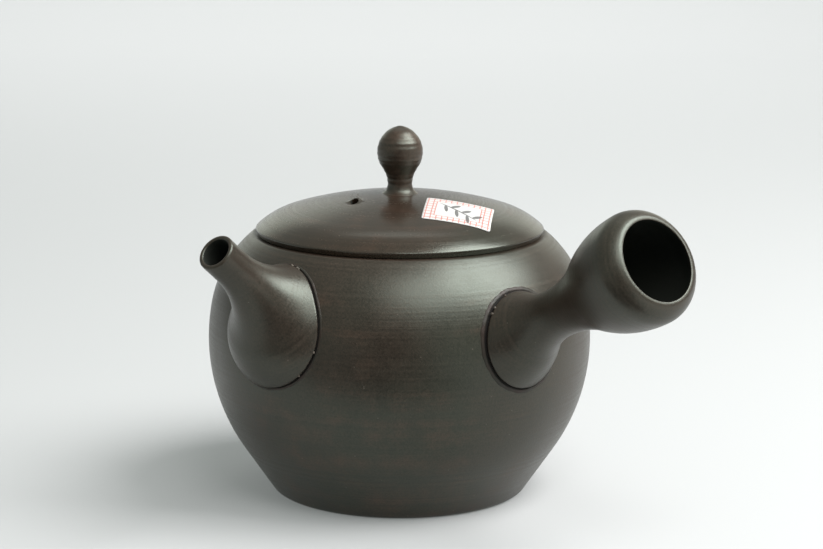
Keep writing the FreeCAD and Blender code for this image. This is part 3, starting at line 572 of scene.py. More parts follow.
def label_paper(finish, label):
    """White paper ruled with pale red squares, and a sprig of ink leaves on a bare middle."""
    shader = Shader("label_paper")
    place, (x, y, _) = shader.place()
    fibre = shader.noise(place, PAPER_FIBRE, 4.0, 0.7)
    ruled = None
    for along, pitch in ((x, label.check), (y, label.check * CHECK_STRETCH)):
        line = abs((along / pitch).calc("FRACT") - 0.5) < label.line
        ruled = line if ruled is None else ruled.calc("MAXIMUM", line)
    reach = (abs(x) / (label.width / 2)).calc("MAXIMUM", abs(y) / (label.depth / 2))
    border = (reach > BORDER_IN) * (reach < BORDER_OUT)
    edging = abs(reach - BORDER_IN) < BORDER_LINE
    red = (ruled * border).calc("MAXIMUM", edging) * (0.6 + fibre * 0.6)
    paper = shader.mix(red.calc("MINIMUM", 1.0), rgba(finish.paper), rgba(finish.print_red))
    tall = y * 0.5
    ink = leaf(x, tall, (0.0, 0.0), STEM_LEAN, *STEM_SIZE)
    for step in range(LEAF_COUNT):
        along = (step - LEAF_MIDDLE) * LEAF_PITCH
        turn = STEM_LEAN + (LEAF_SPREAD if step % 2 else -LEAF_SPREAD)
        middle = [along * way(STEM_LEAN) + way(turn) * LEAF_OUT for way in (math.cos, math.sin)]
        ink = ink.calc("MAXIMUM", leaf(x, tall, middle, turn, *LEAF_SIZE))
    paper = shader.mix(ink * (0.5 + fibre * 0.6).calc("MINIMUM", 1.0), paper, rgba(finish.ink))
    rough = 0.55 + (fibre - 0.5) * 0.2
    bump = shader.bump(0.15, 0.05 * MM, fibre)
    return shader.surface({"IOR": PAPER_IOR}, **{"Base Color": paper, "Roughness": rough, "Normal": bump})


def floor_paper(finish, glow):
    """Pale studio sweep with a faint tooth, which glows a little by itself as painted light."""
    shader = Shader("studio_floor")
    place, _ = shader.place()
    tooth = shader.noise(place, FLOOR_TOOTH, 2.0)
    tone = shader.mix(tooth * 0.02, rgba(finish.floor), WHITE)
    # Painted light: the floor glows a little, which lifts its shadows and lights the pot from below
    uniform = {"Specular IOR Level": 0.0, "Emission Color": FLOOR_GLOW, "Emission Strength": glow}
    return shader.surface(uniform, **{"Base Color": tone, "Roughness": 0.7 + tooth * 0.1})


def dark_felt():
    """Dark felt of the card that keeps the floor out of the belly's reflection."""
    shader = Shader("dark_felt")
    place, _ = shader.place()
    nap = shader.noise(place, FELT_FIBRE, 3.0)
    tone = shader.mix(nap, FELT_DARK, FELT_NAP)
    return shader.surface({"Roughness": 1.0}, **{"Base Color": tone})


def arc(centre, radius, start, end, count):
    """Points on an arc, angles from level outwards, anticlockwise in the radius and height plane."""
    steps = [start + (end - start) * i / count for i in range(count + 1)]
    return [(centre[0] + radius * math.cos(a), centre[1] + radius * math.sin(a)) for a in steps]


def run(start, end, count):
    """Points on a straight run."""
    return [tuple(a + (b - a) * i / count for a, b in zip(start, end)) for i in range(count + 1)]


def chain(*pieces_and_reaches):
    """Joins runs and arcs end to end; a number between two of them softens that corner."""
    line = list(pieces_and_reaches[0])
    reach = 0.0
    for piece in pieces_and_reaches[1:]:
        if isinstance(piece, float):
            reach = piece
            continue
        corner = Vector(line[-1])
        if reach:
            before = [Vector(p) for p in line if (Vector(p) - corner).length > reach]
            after = [Vector(p) for p in piece if (Vector(p) - corner).length > reach]
            start = corner + (before[-1] - corner).normalized() * reach
            end = corner + (after[0] - corner).normalized() * reach
            soft = [
                start * (1 - t) ** 2 + corner * (2 * t * (1 - t)) + end * t**2
                for t in (i / SEAM_ROUNDS for i in range(SEAM_ROUNDS + 1))
            ]
            line = [tuple(p) for p in before + soft + after]
        else:
            line += list(piece[1:])
        reach = 0.0
    return line


def put(name, data):
    """Puts a mesh, lamp or camera into the scene under a name."""
    thing = bpy.data.objects.new(name, data)
    bpy.context.scene.collection.objects.link(thing)
    return thing


def smooth(mesh):
    """Shades a mesh smooth."""
    mesh.polygons.foreach_set("use_smooth", [True] * len(mesh.polygons))


def faced(name, points, faces):
    """A mesh over points and faces."""
    mesh = bpy.data.meshes.new(name)
    mesh.from_pydata([tuple(point) for point in points], [], faces)
    return mesh


def shaped(name, shape):
    """A mesh of a shape made with bmesh, which it uses up."""
    mesh = bpy.data.meshes.new(name)
    shape.to_mesh(mesh)
    shape.free()
    return mesh


def skin(name, rows, closed=False):
    """A smooth mesh over rows of points; each row is a ring, or one point at a pole."""
    points = []
    starts = []
    for row in rows:
        starts.append(len(points))
        points += row
    faces = []
    pairs = list(zip(range(len(rows) - 1), range(1, len(rows))))
    if closed:
        pairs.append((len(rows) - 1, 0))
    for a, b in pairs:
        count = max(len(rows[a]), len(rows[b]))
        for i in range(count):
            j = (i + 1) % count
            ring_a = [starts[a]] if len(rows[a]) == 1 else [starts[a] + i, starts[a] + j]
            ring_b = [starts[b]] if len(rows[b]) == 1 else [starts[b] + j, starts[b] + i]
            faces.append(ring_a + ring_b)
    mesh = faced(name, points, faces)
    smooth(mesh)
    mesh.validate()
    return put(name, mesh)


def lathe(name, profile, steps, shape=None):
    """Turns a profile of (radius, height) points, which runs anticlockwise from pole to pole."""
    rows = []
    for radius, height in profile:
        if radius < POLE:
            rows.append([Vector((0.0, 0.0, height))])
            continue
        ring = []
        for i in range(steps):
            around = math.tau * i / steps
            point = Vector((radius * math.cos(around), radius * math.sin(around), height))
            ring.append(shape(point) if shape else point)
        rows.append(ring)
    return skin(name, rows)


def bore(piece, places, radius, reach, steps=HOLE_STEPS):
    """Cuts round holes through a piece, one at each place and along its Z, and keeps the result."""
    rods = bmesh.new()
    ends = {"radius1": radius, "radius2": radius, "depth": 2 * reach}
    for place in places:
        bmesh.ops.create_cone(rods, cap_ends=True, segments=steps, matrix=place, **ends)
    cutter = put("hole_cutter", shaped("hole_cutter", rods))
    cut = piece.modifiers.new("hole", "BOOLEAN")
    cut.operation = "DIFFERENCE"
    cut.solver = "EXACT"
    cut.object = cutter
    view = bpy.context.evaluated_depsgraph_get()
    mesh = bpy.data.meshes.new_from_object(piece.evaluated_get(view))
    trimmed = bmesh.new()
    trimmed.from_mesh(mesh)
    bmesh.ops.remove_doubles(trimmed, verts=trimmed.verts, dist=SLIVER)
    many = [face for face in trimmed.faces if len(face.verts) > 4]
    bmesh.ops.triangulate(trimmed, faces=many, quad_method="BEAUTY", ngon_method="BEAUTY")
    bmesh.ops.dissolve_degenerate(trimmed, edges=trimmed.edges, dist=SLIVER)
    trimmed.to_mesh(mesh)
    trimmed.free()
    smooth(mesh)
    mesh.set_sharp_from_angle(angle=SHARP_EDGE)
    piece.modifiers.clear()
    old = piece.data
    piece.data = mesh
    bpy.data.meshes.remove(old)
    bpy.data.objects.remove(cutter)


def finish_piece(piece, material, body, slot, *nodes):
    """Gives a piece its material and body, and lets it stand for its CAD nodes."""
    piece.data.materials.clear()
    piece.data.materials.append(material)
    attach(piece, body)
    if nodes:
        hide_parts(*nodes)


class PotWall:
    """The pot's outer wall: its line, and how far a point lies off it."""

    def __init__(self, pot):
        self.pot = pot
        self.belly = (pot.belly_radius - pot.belly_curve, pot.belly_height)
        shift = pot.belly_curve - pot.shoulder_curve
        self.shoulder = (
            self.belly[0] + shift * math.cos(pot.shoulder_start),
            self.belly[1] + shift * math.sin(pot.shoulder_start),
        )
        rise = pot.rim_height - self.shoulder[1]
        self.lip_radius = self.shoulder[0] + math.sqrt(pot.shoulder_curve**2 - rise**2)

    def line(self, inset, foot_height, top_angle):
        """Wall line from the foot up to an angle on the shoulder's arc."""
        pot = self.pot
        belly = arc(self.belly, pot.belly_curve - inset, -pot.flank_lean, pot.shoulder_start, 60)
        drop = belly[0][1] - foot_height
        foot = (belly[0][0] - drop * math.tan(pot.flank_lean), foot_height)
        shoulder = arc(self.shoulder, pot.shoulder_curve - inset, pot.shoulder_start, top_angle, 36)
        return chain(run(foot, belly[0], 14), belly, shoulder)

    def off(self, point):
        """Distance of a point outside the wall, and the wall's outward normal there."""
        level = math.hypot(point.x, point.y)
        pot = self.pot
        arm = Vector((level - self.belly[0], point.z - self.belly[1]))
        lean = math.atan2(arm.y, arm.x)
        distance = arm.length - pot.belly_curve
        if lean > pot.shoulder_start:
            arm = Vector((level - self.shoulder[0], point.z - self.shoulder[1]))
            distance = arm.length - pot.shoulder_curve
        elif lean < -pot.flank_lean:
            arm = Vector((math.cos(pot.flank_lean), -math.sin(pot.flank_lean)))
            foot = Vector((level - self.belly[0], point.z - self.belly[1]))
            distance = foot.dot(arm) - pot.belly_curve
        arm.normalize()
        normal = Vector((point.x / level * arm.x, point.y / level * arm.x, arm.y))
        return distance, normal


def swell(height, start, end, first_radius):
    """Radius at a height on an S of two tangent arcs between two turning points."""
    (r0, h0), (r1, h1) = start, end
    grow = 1 if r1 > r0 else -1
    total = ((h1 - h0) ** 2 + (r1 - r0) ** 2) / (2 * abs(r1 - r0))
    last_radius = total - first_radius
    if height < h0 + (h1 - h0) * first_radius / total:
        return r0 + grow * (first_radius - math.sqrt(first_radius**2 - (height - h0) ** 2))
    return r1 - grow * (last_radius - math.sqrt(last_radius**2 - (h1 - height) ** 2))


def crumbs(name, spots):
    """Small broken lumps of dry clay, each at its spot and of its own size."""
    shape = bmesh.new()
    for order, (spot, size) in enumerate(spots):
        place = Matrix.Translation(spot)
        made = bmesh.ops.create_icosphere(shape, subdivisions=2, radius=size, matrix=place)
        for corner in made["verts"]:
            out = (corner.co - spot) / size
            lump = 0.85 + 0.3 * uneven(order + 0.6 * (out.x - out.y + 0.7 * out.z))
            corner.co = spot + out * (size * lump)
    mesh = shaped(name, shape)
    smooth(mesh)
    return put(name, mesh)


def uneven(around):
    """A hand's unsteadiness round a ring, about -1 to 1."""
    slow = 0.45 * math.sin(3 * around + 0.7)
    return slow + 0.33 * math.sin(11 * around + 2.1) + 0.22 * math.sin(29 * around)


def paint(piece, name, shares):
    """Stores a share at each point of a piece, for its material."""
    layer = piece.data.attributes.new(name, "FLOAT", "POINT")
    layer.data.foreach_set("value", shares)


class Arm:
    """A spout or handle: a turned tube on a slanted axis, with its foot cut to the pot's wall."""

    def __init__(self, wall, turn, sizes):
        self.wall = wall
        pot = wall.pot
        start = pot.belly_height + sizes.rise - pot.belly_radius * math.tan(sizes.lift)
        self.seat = pot.belly_radius / math.cos(sizes.lift)
        self.place = (
            Matrix.Translation((0.0, 0.0, start))
            @ Matrix.Rotation(turn, 4, "Z")
            @ Matrix.Rotation(math.pi / 2 - sizes.lift, 4, "Y")
        )

    def at(self, radius, height, around):
        return self.place @ Vector((radius * math.cos(around), radius * math.sin(around), height))

    def cut_height(self, radius_of, clear, around, top):
        """Height along the axis at which the tube comes down to a distance clear of the wall."""
        low = self.seat - CUT_DEPTH
        high = top
        for _ in range(CUT_HALVINGS):
            middle = (low + high) / 2
            distance, _ = self.wall.off(self.at(radius_of(middle), middle, around))
            if distance < clear:
                low = middle
            else:
                high = middle
        return high

    def foot_rows(self, radius_of, clear, top, count):
        """Rings from a level height down to the cut foot."""
        turns = [math.tau * i / ARM_STEPS for i in range(ARM_STEPS)]
        cuts = [self.cut_height(radius_of, clear, around, top) for around in turns]
        rows = []
        for step in range(1, count + 1):
            share = step / count
            heights = [top + (cut - top) * share for cut in cuts]
            rows.append([self.at(radius_of(h), h, around) for h, around in zip(heights, turns)])
        return rows

    def ring(self, radius, height):
        return [self.at(radius, height, math.tau * i / ARM_STEPS) for i in range(ARM_STEPS)]

    def outward(self, ring):
        """For each point of a seam: its foot on the wall, the wall's normal and the way out along it."""
        feet = []
        for i, point in enumerate(ring):
            distance, normal = self.wall.off(point)
            along = ring[(i + 1) % len(ring)] - ring[i - 1]
            out = normal.cross(along).normalized()
            axis_point = self.place @ Vector((0.0, 0.0, (self.place.inverted() @ point).z))
            if out.dot(point - axis_point) < 0:
                out.negate()
            feet.append((point - normal * distance, normal, out))
        return feet

    def foot_edge(self, ring, seam):
        """Rows that round the foot's edge and turn it in towards the wall."""
        feet = self.outward(ring)
        rows = []
        for step in range(1, SEAM_ROUNDS + 1):
            bend = math.pi / 2 * step / SEAM_ROUNDS
            inward = seam.edge_reach * (1 - math.cos(bend))
            height = seam.foot_edge * (1 - math.sin(bend))
            rows.append([foot + normal * height - out * inward for foot, normal, out in feet])
        return rows

    def at_home(self, rows):
        """Rows of the pot's frame, in the arm's own."""
        home = self.place.inverted()
        return [[home @ point for point in row] for row in rows]

    def loop(self, name, rows):
        """A skin over rows of the pot's frame, closed from the last to the first."""
        piece = skin(name, self.at_home(rows), closed=True)
        piece.matrix_world = self.place
        return piece

    def tube(self, name, outer_rows, inner_rows, deep, seam):
        """The tube from its rounded outer foot, round the lip, to its inner foot.

        The inner rows and the first few outer ones, as many as deep says, are the unburnished inside,
        which is also painted dark as shade.
        """
        edge = self.foot_edge(outer_rows[-1], seam)
        rows = list(reversed(edge)) + list(reversed(outer_rows)) + inner_rows
        piece = self.loop(name, rows)
        shown = len(edge) + len(outer_rows) - deep
        # The inside share, which the material makes dull and paints dark as shade
        paint(piece, "inside", [float(i >= shown) for i, row in enumerate(rows) for _ in row])
        return piece

    def collar(self, name, ring, seam, width):
        """The scored seam round the foot: a groove, and the burr that the tool raised beside it; the
        groove and the slip under the foot are painted dark as shade.
        """
        groove, burr, toe = (reach * width for reach in (seam.groove, seam.burr, seam.toe))
        crest = seam.burr_height * math.sqrt(width)
        # The darkness column is painted shade, in the groove and under the foot
        section = (  # distance outside the foot, height on the wall, darkness
            (toe, -SEAM_SINK, 0.0),
            (burr * 0.15 + toe * 0.85, crest * 0.06, 0.0),
            (burr * 0.5 + toe * 0.5, crest * 0.4, 0.0),
            (burr * 0.85 + toe * 0.15, crest * 0.9, 0.0),
            (burr, crest, 0.0),
            (burr * 0.93, crest * 0.98, 0.1),
            (groove * 0.4 + burr * 0.6, crest * 0.8, 0.6),
            (groove * 0.7 + burr * 0.3, crest * 0.35, 1.0),
            (groove, 0.0, 1.0),
            (0.0, GROOVE_END, 1.0),
            (-seam.edge_reach * 0.5, SLIP_HEIGHT, 1.0),
            (-seam.edge_reach, -SEAM_SINK, 1.0),
        )
        feet = self.outward(ring)
        strip = []
        for reach, lift, _ in section:
            row = []
            for i, (foot, normal, out) in enumerate(feet):
                rough = uneven(math.tau * i / len(feet))
                aside = out * (reach * (1 + 0.15 * rough))
                row.append(foot + aside + normal * (lift * (1 + 0.6 * rough)))
            strip.append(row)
        piece = self.loop(name, strip)
        # The groove share, which the slip's material paints dark as shade
        paint(piece, "groove", [dark for _, _, dark in section for _ in feet])
        return piece

    def dry_crumbs(self, name, ring, seam, shares):
        """Crumbs of dry clay left on the foot's edge."""
        home = self.place.inverted()
        feet = self.outward(ring)
        spots = []
        for order, share in enumerate(shares):
            foot, normal, out = feet[round(share * len(feet)) % len(feet)]
            size = CRUMB_SIZE + CRUMB_SPREAD * uneven(2.3 * order)
            spots.append((home @ (foot + out * CRUMB_OUT + normal * (seam.foot_edge * 0.9)), size))
        piece = crumbs(name, spots)
        piece.matrix_world = self.place
        return piece


class TEAPOT_OT_pot(bpy.types.Operator):
    """Throw the pot, with its lip, hollow, floor and spout port"""

    bl_idname = "teapot.pot"
    bl_label = "Pot"

    def execute(self, context):
        settings = context.scene.teapot
        pot = settings.pot
        wall = PotWall(pot)
        top_angle = math.atan2(pot.rim_height - wall.shoulder[1], wall.lip_radius - wall.shoulder[0])
        outside = wall.line(0.0, 0.0, top_angle)
        mouth_radius = wall.lip_radius - pot.lip_width
        inner_curve = pot.shoulder_curve - pot.wall
        inner_angle = math.acos((mouth_radius - wall.shoulder[0]) / inner_curve)
        inside = list(reversed(wall.line(pot.wall, pot.floor, inner_angle)))
        inside = [self.ridged(point, pot) for point in inside]
        lip = (wall.lip_radius, pot.rim_height)
        throat = (mouth_radius, pot.rim_height)
        ring_foot = (outside[0][0] * FOOT_RING_SHARE, 0.0)
        hollow = run((0.0, pot.base_hollow), (ring_foot[0] * HOLLOW_SHARE, pot.base_hollow), 12)
        profile = chain(
            hollow,
            HOLLOW_ROUND,
            run(hollow[-1], ring_foot, 4),
            FOOT_RING_ROUND,
            run(ring_foot, outside[0], 6),
            pot.base_round,
            outside,
            pot.lip_round,
            run(lip, throat, 8),
            pot.lip_round,
            run(throat, inside[0], 4),
            THROAT_ROUND,
            inside,
            FLOOR_ROUND,
            run(inside[-1], (0.0, pot.floor), 16),
        )
        piece = lathe("pot_clay", profile, POT_STEPS)
        spout = Arm(wall, settings.spout.turn, settings.spout)
        port = spout.place @ Matrix.Translation((0.0, 0.0, spout.seat - PORT_SINK))
        bore(piece, [port], pot.port_radius, PORT_REACH)
        clay = stoneware(settings.finish, "pot_stoneware")
        finish_piece(piece, clay, "pot", "stoneware", "pot_body")
        return {"FINISHED"}

    @staticmethod
    def ridged(point, pot):
        """A point of the inside, moved by the finger ridges left from throwing."""
        radius, height = point
        wave = math.sin(height / BROAD_RIDGE) * 0.6 + math.sin(height / FINE_RIDGE) * 0.4
        return radius - pot.ridge * (1 + wave) * 0.5, height


class TEAPOT_OT_spout(bpy.types.Operator):
    """Turn the spout, cut its foot to the wall and score its seam"""

    bl_idname = "teapot.spout"
    bl_label = "Spout"

    def execute(self, context):
        settings = context.scene.teapot
        sizes = settings.spout
        seam = settings.seam
        finish = settings.finish
        arm = Arm(PotWall(settings.pot), sizes.turn, sizes)
        foot = arm.seat - sizes.foot_depth
        neck = arm.seat + sizes.neck_reach
        tip = arm.seat + sizes.tip_reach

        def tube(foot_radius, tip_radius, foot_round):
            def radius_of(height):
                if height <= foot:
                    return foot_radius
                if height >= neck:
                    return tip_radius
                return swell(height, (foot_radius, foot), (tip_radius, neck), foot_round)

            return radius_of

        tip_in = sizes.tip_radius - sizes.tip_wall
        outer = tube(sizes.foot_radius, sizes.tip_radius, sizes.foot_round)
        inner = tube(sizes.foot_radius - sizes.wall, tip_in, sizes.foot_round - sizes.wall)
        lip_radius = sizes.tip_wall / 2
        lip = arc((sizes.tip_radius - lip_radius, tip), lip_radius, 0.0, math.pi, 14)
        straight = [tip + (neck - tip) * i / TIP_ROWS for i in range(1, TIP_ROWS + 1)]
        outer_rows = [arm.ring(*point) for point in reversed(lip)]
        outer_rows += [arm.ring(outer(h), h) for h in straight]
        outer_rows += arm.foot_rows(outer, seam.foot_edge, neck, FOOT_ROWS)
        inner_rows = [arm.ring(inner(h), h) for h in straight]
        inner_rows += arm.foot_rows(inner, seam.foot_edge, neck, INNER_FOOT_ROWS)
        ring = outer_rows[-1]
        piece = arm.tube("spout_clay", outer_rows, inner_rows, SPOUT_INSIDE_ROWS, seam)
        collar = arm.collar("spout_clay_seam", ring, seam, sizes.seam_width)
        broken = arm.dry_crumbs("spout_clay_crumbs", ring, seam, SPOUT_CRUMBS)
        clay = stoneware(finish, "spout_stoneware", warmth=0.4)
        finish_piece(piece, clay, "pot", "stoneware", "spout")
        finish_piece(collar, slip_clay(finish, "spout_seam"), "pot", "slip", "spout_slip")
        # The crumbs' pale share is partly dried clay and partly painted highlight
        finish_piece(broken, slip_clay(finish, "spout_crumb", 0.3), "pot", "slip")
        return {"FINISHED"}


class TEAPOT_OT_strainer(bpy.types.Operator):
    """Turn the pierced half ball over the port and cut its edge to the inside of the wall"""

    bl_idname = "teapot.strainer"
    bl_label = "Strainer"

    def execute(self, context):
        settings = context.scene.teapot
        sizes = settings.strainer
        pot = settings.pot
        arm = Arm(PotWall(pot), settings.spout.turn, settings.spout)
        middle = arm.seat - sizes.depth
        inner = pot.port_radius + sizes.margin
        outer = inner + sizes.wall
        clear = -(pot.wall + sizes.gap)
        turns = [math.tau * i / ARM_STEPS for i in range(ARM_STEPS)]

        def on_ball(radius, reach, around):
            """A point of the ball, or past reach 1 of the straight collar on it."""
            bend = math.pi / 2 * (min(reach, 1.0) - 1.0)
            height = middle + radius * math.sin(bend) + radius * max(reach - 1.0, 0.0)
            return arm.at(radius * math.cos(bend), height, around)

        def cut_reach(radius, around):
            """The reach at which the ball comes to the inside of the wall."""
            low, high = BALL_REACHES
            for _ in range(CUT_HALVINGS):
                half = (low + high) / 2
                inside = arm.wall.off(on_ball(radius, half, around))[0] < clear
                low, high = (half, high) if inside else (low, half)
            return high

        skins = []
        for radius in (outer, inner):
            cuts = [cut_reach(radius, around) for around in turns]
            rows = [[on_ball(radius, 0.0, 0.0)]]
            for step in range(1, BALL_ROWS + 1):
                share = step / BALL_ROWS
                rows.append([on_ball(radius, cut * share, around) for cut, around in zip(cuts, turns)])
            skins.append(rows)
        piece = skin("strainer_clay", arm.at_home(skins[0] + list(reversed(skins[1]))))
        drops = [(0.0, 0.0)]
        for ring in range(1, HOLE_RINGS + 1):
            away = sizes.pitch * ring
            count = HOLES_ROUND * ring
            spread = [math.tau * i / count for i in range(count)]
            drops += [(away * math.cos(a), away * math.sin(a)) for a in spread]
        holes = [Matrix.Translation((*drop, middle - outer)) for drop in drops]
        bore(piece, holes, sizes.hole_radius, outer * DRIP_REACH, DRIP_STEPS)
        piece.matrix_world = arm.place
        clay = stoneware(settings.finish, "strainer_stoneware", warmth=0.7)
        finish_piece(piece, clay, "pot", "stoneware", "spout_strainer")
        return {"FINISHED"}


class TEAPOT_OT_handle(bpy.types.Operator):
    """Turn the hollow handle, cut its foot to the wall and score its seam"""

    bl_idname = "teapot.handle"
    bl_label = "Handle"

    def execute(self, context):
        settings = context.scene.teapot
        sizes = settings.handle
        seam = settings.seam
        finish = settings.finish
        arm = Arm(PotWall(settings.pot), 0.0, sizes)
        foot = arm.seat - sizes.foot_depth
        waist = arm.seat + sizes.waist_reach
        bulb = arm.seat + sizes.bulb_reach
        mouth = bulb + sizes.mouth_depth

        def tube(inset):
            foot_spot = (sizes.foot_radius - inset, foot)
            waist_spot = (sizes.waist_radius - inset, waist)
            bulb_spot = (sizes.bulb_radius - inset, bulb)

            def radius_of(height):
                if height <= foot:
                    return foot_spot[0]
                if height <= waist:
                    return swell(height, foot_spot, waist_spot, sizes.foot_round - inset)
                return swell(height, waist_spot, bulb_spot, sizes.bulb_round + inset)

            return radius_of

        outer = tube(0.0)
        inner = tube(sizes.wall)
        mouth_out = sizes.bulb_radius - sizes.mouth_inset
        mouth_in = mouth_out - sizes.lip
        closing_height = mouth - bulb
        closing_radius = (closing_height**2 + sizes.mouth_inset**2) / (2 * sizes.mouth_inset)
        closing_centre = (sizes.bulb_radius - closing_radius, bulb)
        closing_end = math.asin(closing_height / closing_radius)
        closing = arc(closing_centre, closing_radius, 0.0, closing_end, 16)
        bulb_in = sizes.bulb_radius - sizes.wall
        bevel = []
        for i in range(MOUTH_ROWS + 1):
            widening = math.sin(math.pi / 2 * i / MOUTH_ROWS)
            height = mouth + (bulb - mouth) * i / MOUTH_ROWS
            bevel.append((mouth_in + (bulb_in - mouth_in) * widening, height))
        flat = run((mouth_out, mouth), (mouth_in, mouth), 8)
        rim = chain(closing, RIM_ROUND, flat, RIM_INNER_ROUND, bevel)
        swelling = [bulb + (waist - bulb) * i / BULB_ROWS for i in range(1, BULB_ROWS + 1)]
        outer_rows = [arm.ring(*point) for point in reversed(rim)]
        outer_rows += [arm.ring(outer(h), h) for h in swelling]
        outer_rows += arm.foot_rows(outer, seam.foot_edge, waist, FOOT_ROWS)
        inner_rows = [arm.ring(inner(h), h) for h in swelling]
        inner_rows += arm.foot_rows(inner, seam.foot_edge, waist, INNER_FOOT_ROWS)
        ring = outer_rows[-1]
        deep = len(bevel) - HANDLE_LIP_ROWS
        piece = arm.tube("handle_clay", outer_rows, inner_rows, deep, seam)
        collar = arm.collar("handle_clay_seam", ring, seam, sizes.seam_width)
        broken = arm.dry_crumbs("handle_clay_crumbs", ring, seam, HANDLE_CRUMBS)
        clay = stoneware(finish, "handle_stoneware", warmth=0.15)
        finish_piece(piece, clay, "pot", "stoneware", "handle")
        finish_piece(collar, slip_clay(finish, "handle_seam"), "pot", "slip", "handle_slip")
        # The crumbs' pale share is partly dried clay and partly painted highlight
        finish_piece(broken, slip_clay(finish, "handle_crumb", 0.2), "pot", "slip")
        return {"FINISHED"}


class LidForm:
    """The lid's dome: the centres of its two arcs and its height at any radius."""

    def __init__(self, settings):
        lid = settings.lid
        wall = PotWall(settings.pot)
        self.lid = lid
        self.rim = settings.pot.rim_height
        self.radius = wall.lip_radius - lid.ledge
        self.mouth = wall.lip_radius - settings.pot.lip_width
        self.crease = (self.radius - lid.crease_inset, self.rim + lid.band)
        self.edge = (
            self.crease[0] - lid.edge_curve * math.cos(lid.edge_angle),
            self.crease[1] - lid.edge_curve * math.sin(lid.edge_angle),
        )
        self.dome = self.edge[1] - math.sqrt((lid.dome_curve - lid.edge_curve) ** 2 - self.edge[0] ** 2)
        self.joint_angle = math.atan2(self.edge[1] - self.dome, self.edge[0])

    def height_at(self, radius):
        lid = self.lid
        if radius < lid.dome_curve * math.cos(self.joint_angle):
            return self.dome + math.sqrt(lid.dome_curve**2 - radius**2)
        return self.edge[1] + math.sqrt(lid.edge_curve**2 - (radius - self.edge[0]) ** 2)


class TEAPOT_OT_lid(bpy.types.Operator):
    """Turn the lid with its band, flange and steam hole"""

    bl_idname = "teapot.lid"
    bl_label = "Lid"

    def execute(self, context):
        settings = context.scene.teapot
        form = LidForm(settings)
        lid = settings.lid
        edge_arc = arc(form.edge, lid.edge_curve, lid.edge_angle, form.joint_angle, 24)
        dome_arc = arc((0.0, form.dome), lid.dome_curve, form.joint_angle, math.pi / 2, 96)
        flange = form.mouth - lid.play
        flange_in = flange - lid.flange_wall
        flange_foot = form.rim - lid.flange_depth
        ceiling_curve = lid.dome_curve - lid.wall
        ceiling_angle = math.acos(flange_in / ceiling_curve)
        ceiling = arc((0.0, form.dome), ceiling_curve, math.pi / 2, ceiling_angle, 30)
        corner = (form.crease[0] - lid.undercut, form.rim)
        profile = chain(
            ceiling,
            CEILING_ROUND,
            run(ceiling[-1], (flange_in, flange_foot), 8),
            FLANGE_ROUND,
            run((flange_in, flange_foot), (flange, flange_foot), 6),
            FLANGE_ROUND,
            run((flange, flange_foot), (flange, form.rim), 8),
            SEAT_ROUND,
            run((flange, form.rim), corner, 8),
            BAND_ROUND,
            run(corner, form.crease, 12),
            lid.crease_round,
            edge_arc,
            dome_arc,
        )
        spot = Vector((math.cos(lid.steam_turn), math.sin(lid.steam_turn), 0.0)) * lid.steam_distance
        toward = Vector((math.cos(lid.steam_lean), math.sin(lid.steam_lean)))

        def pushed_up(point):
            """The dome, raised on one side of the steam hole and pressed in on the other."""
            away = Vector((point.x - spot.x, point.y - spot.y))
            if point.z < form.rim + lid.band or away.length > lid.steam_radius * STEAM_PATCH:
                return point
            tip = away.dot(toward) / lid.steam_radius
            fall = max(0.0, away.length - lid.steam_radius) / STEAM_SPREAD
            point.z += lid.steam_burr * (tip + STEAM_BIAS) * math.exp(-fall * fall)
            return point

        piece = lathe("lid_clay", profile, POT_STEPS, pushed_up)
        spot.z = form.height_at(lid.steam_distance)
        lean = [-STEAM_SLANT * way(lid.steam_lean) for way in (math.cos, math.sin)] + [1.0]
        slanted = Vector(lean).to_track_quat("Z", "Y").to_matrix().to_4x4()
        bore(piece, [Matrix.Translation(spot) @ slanted], lid.steam_radius, STEAM_REACH)
        looks = {"across": "radius", "warmth": 0.65, "matt": 0.24, "patchy": 0.45, "lines": 0.5}
        # The steam hole is painted dark as shade, a little wider than the hole
        hole = (spot, lean, lid.steam_radius * STEAM_SHADE)
        clay = stoneware(settings.finish, "lid_stoneware", hole=hole, **looks)
        finish_piece(piece, clay, "lid", "stoneware", "lid")
        return {"FINISHED"}


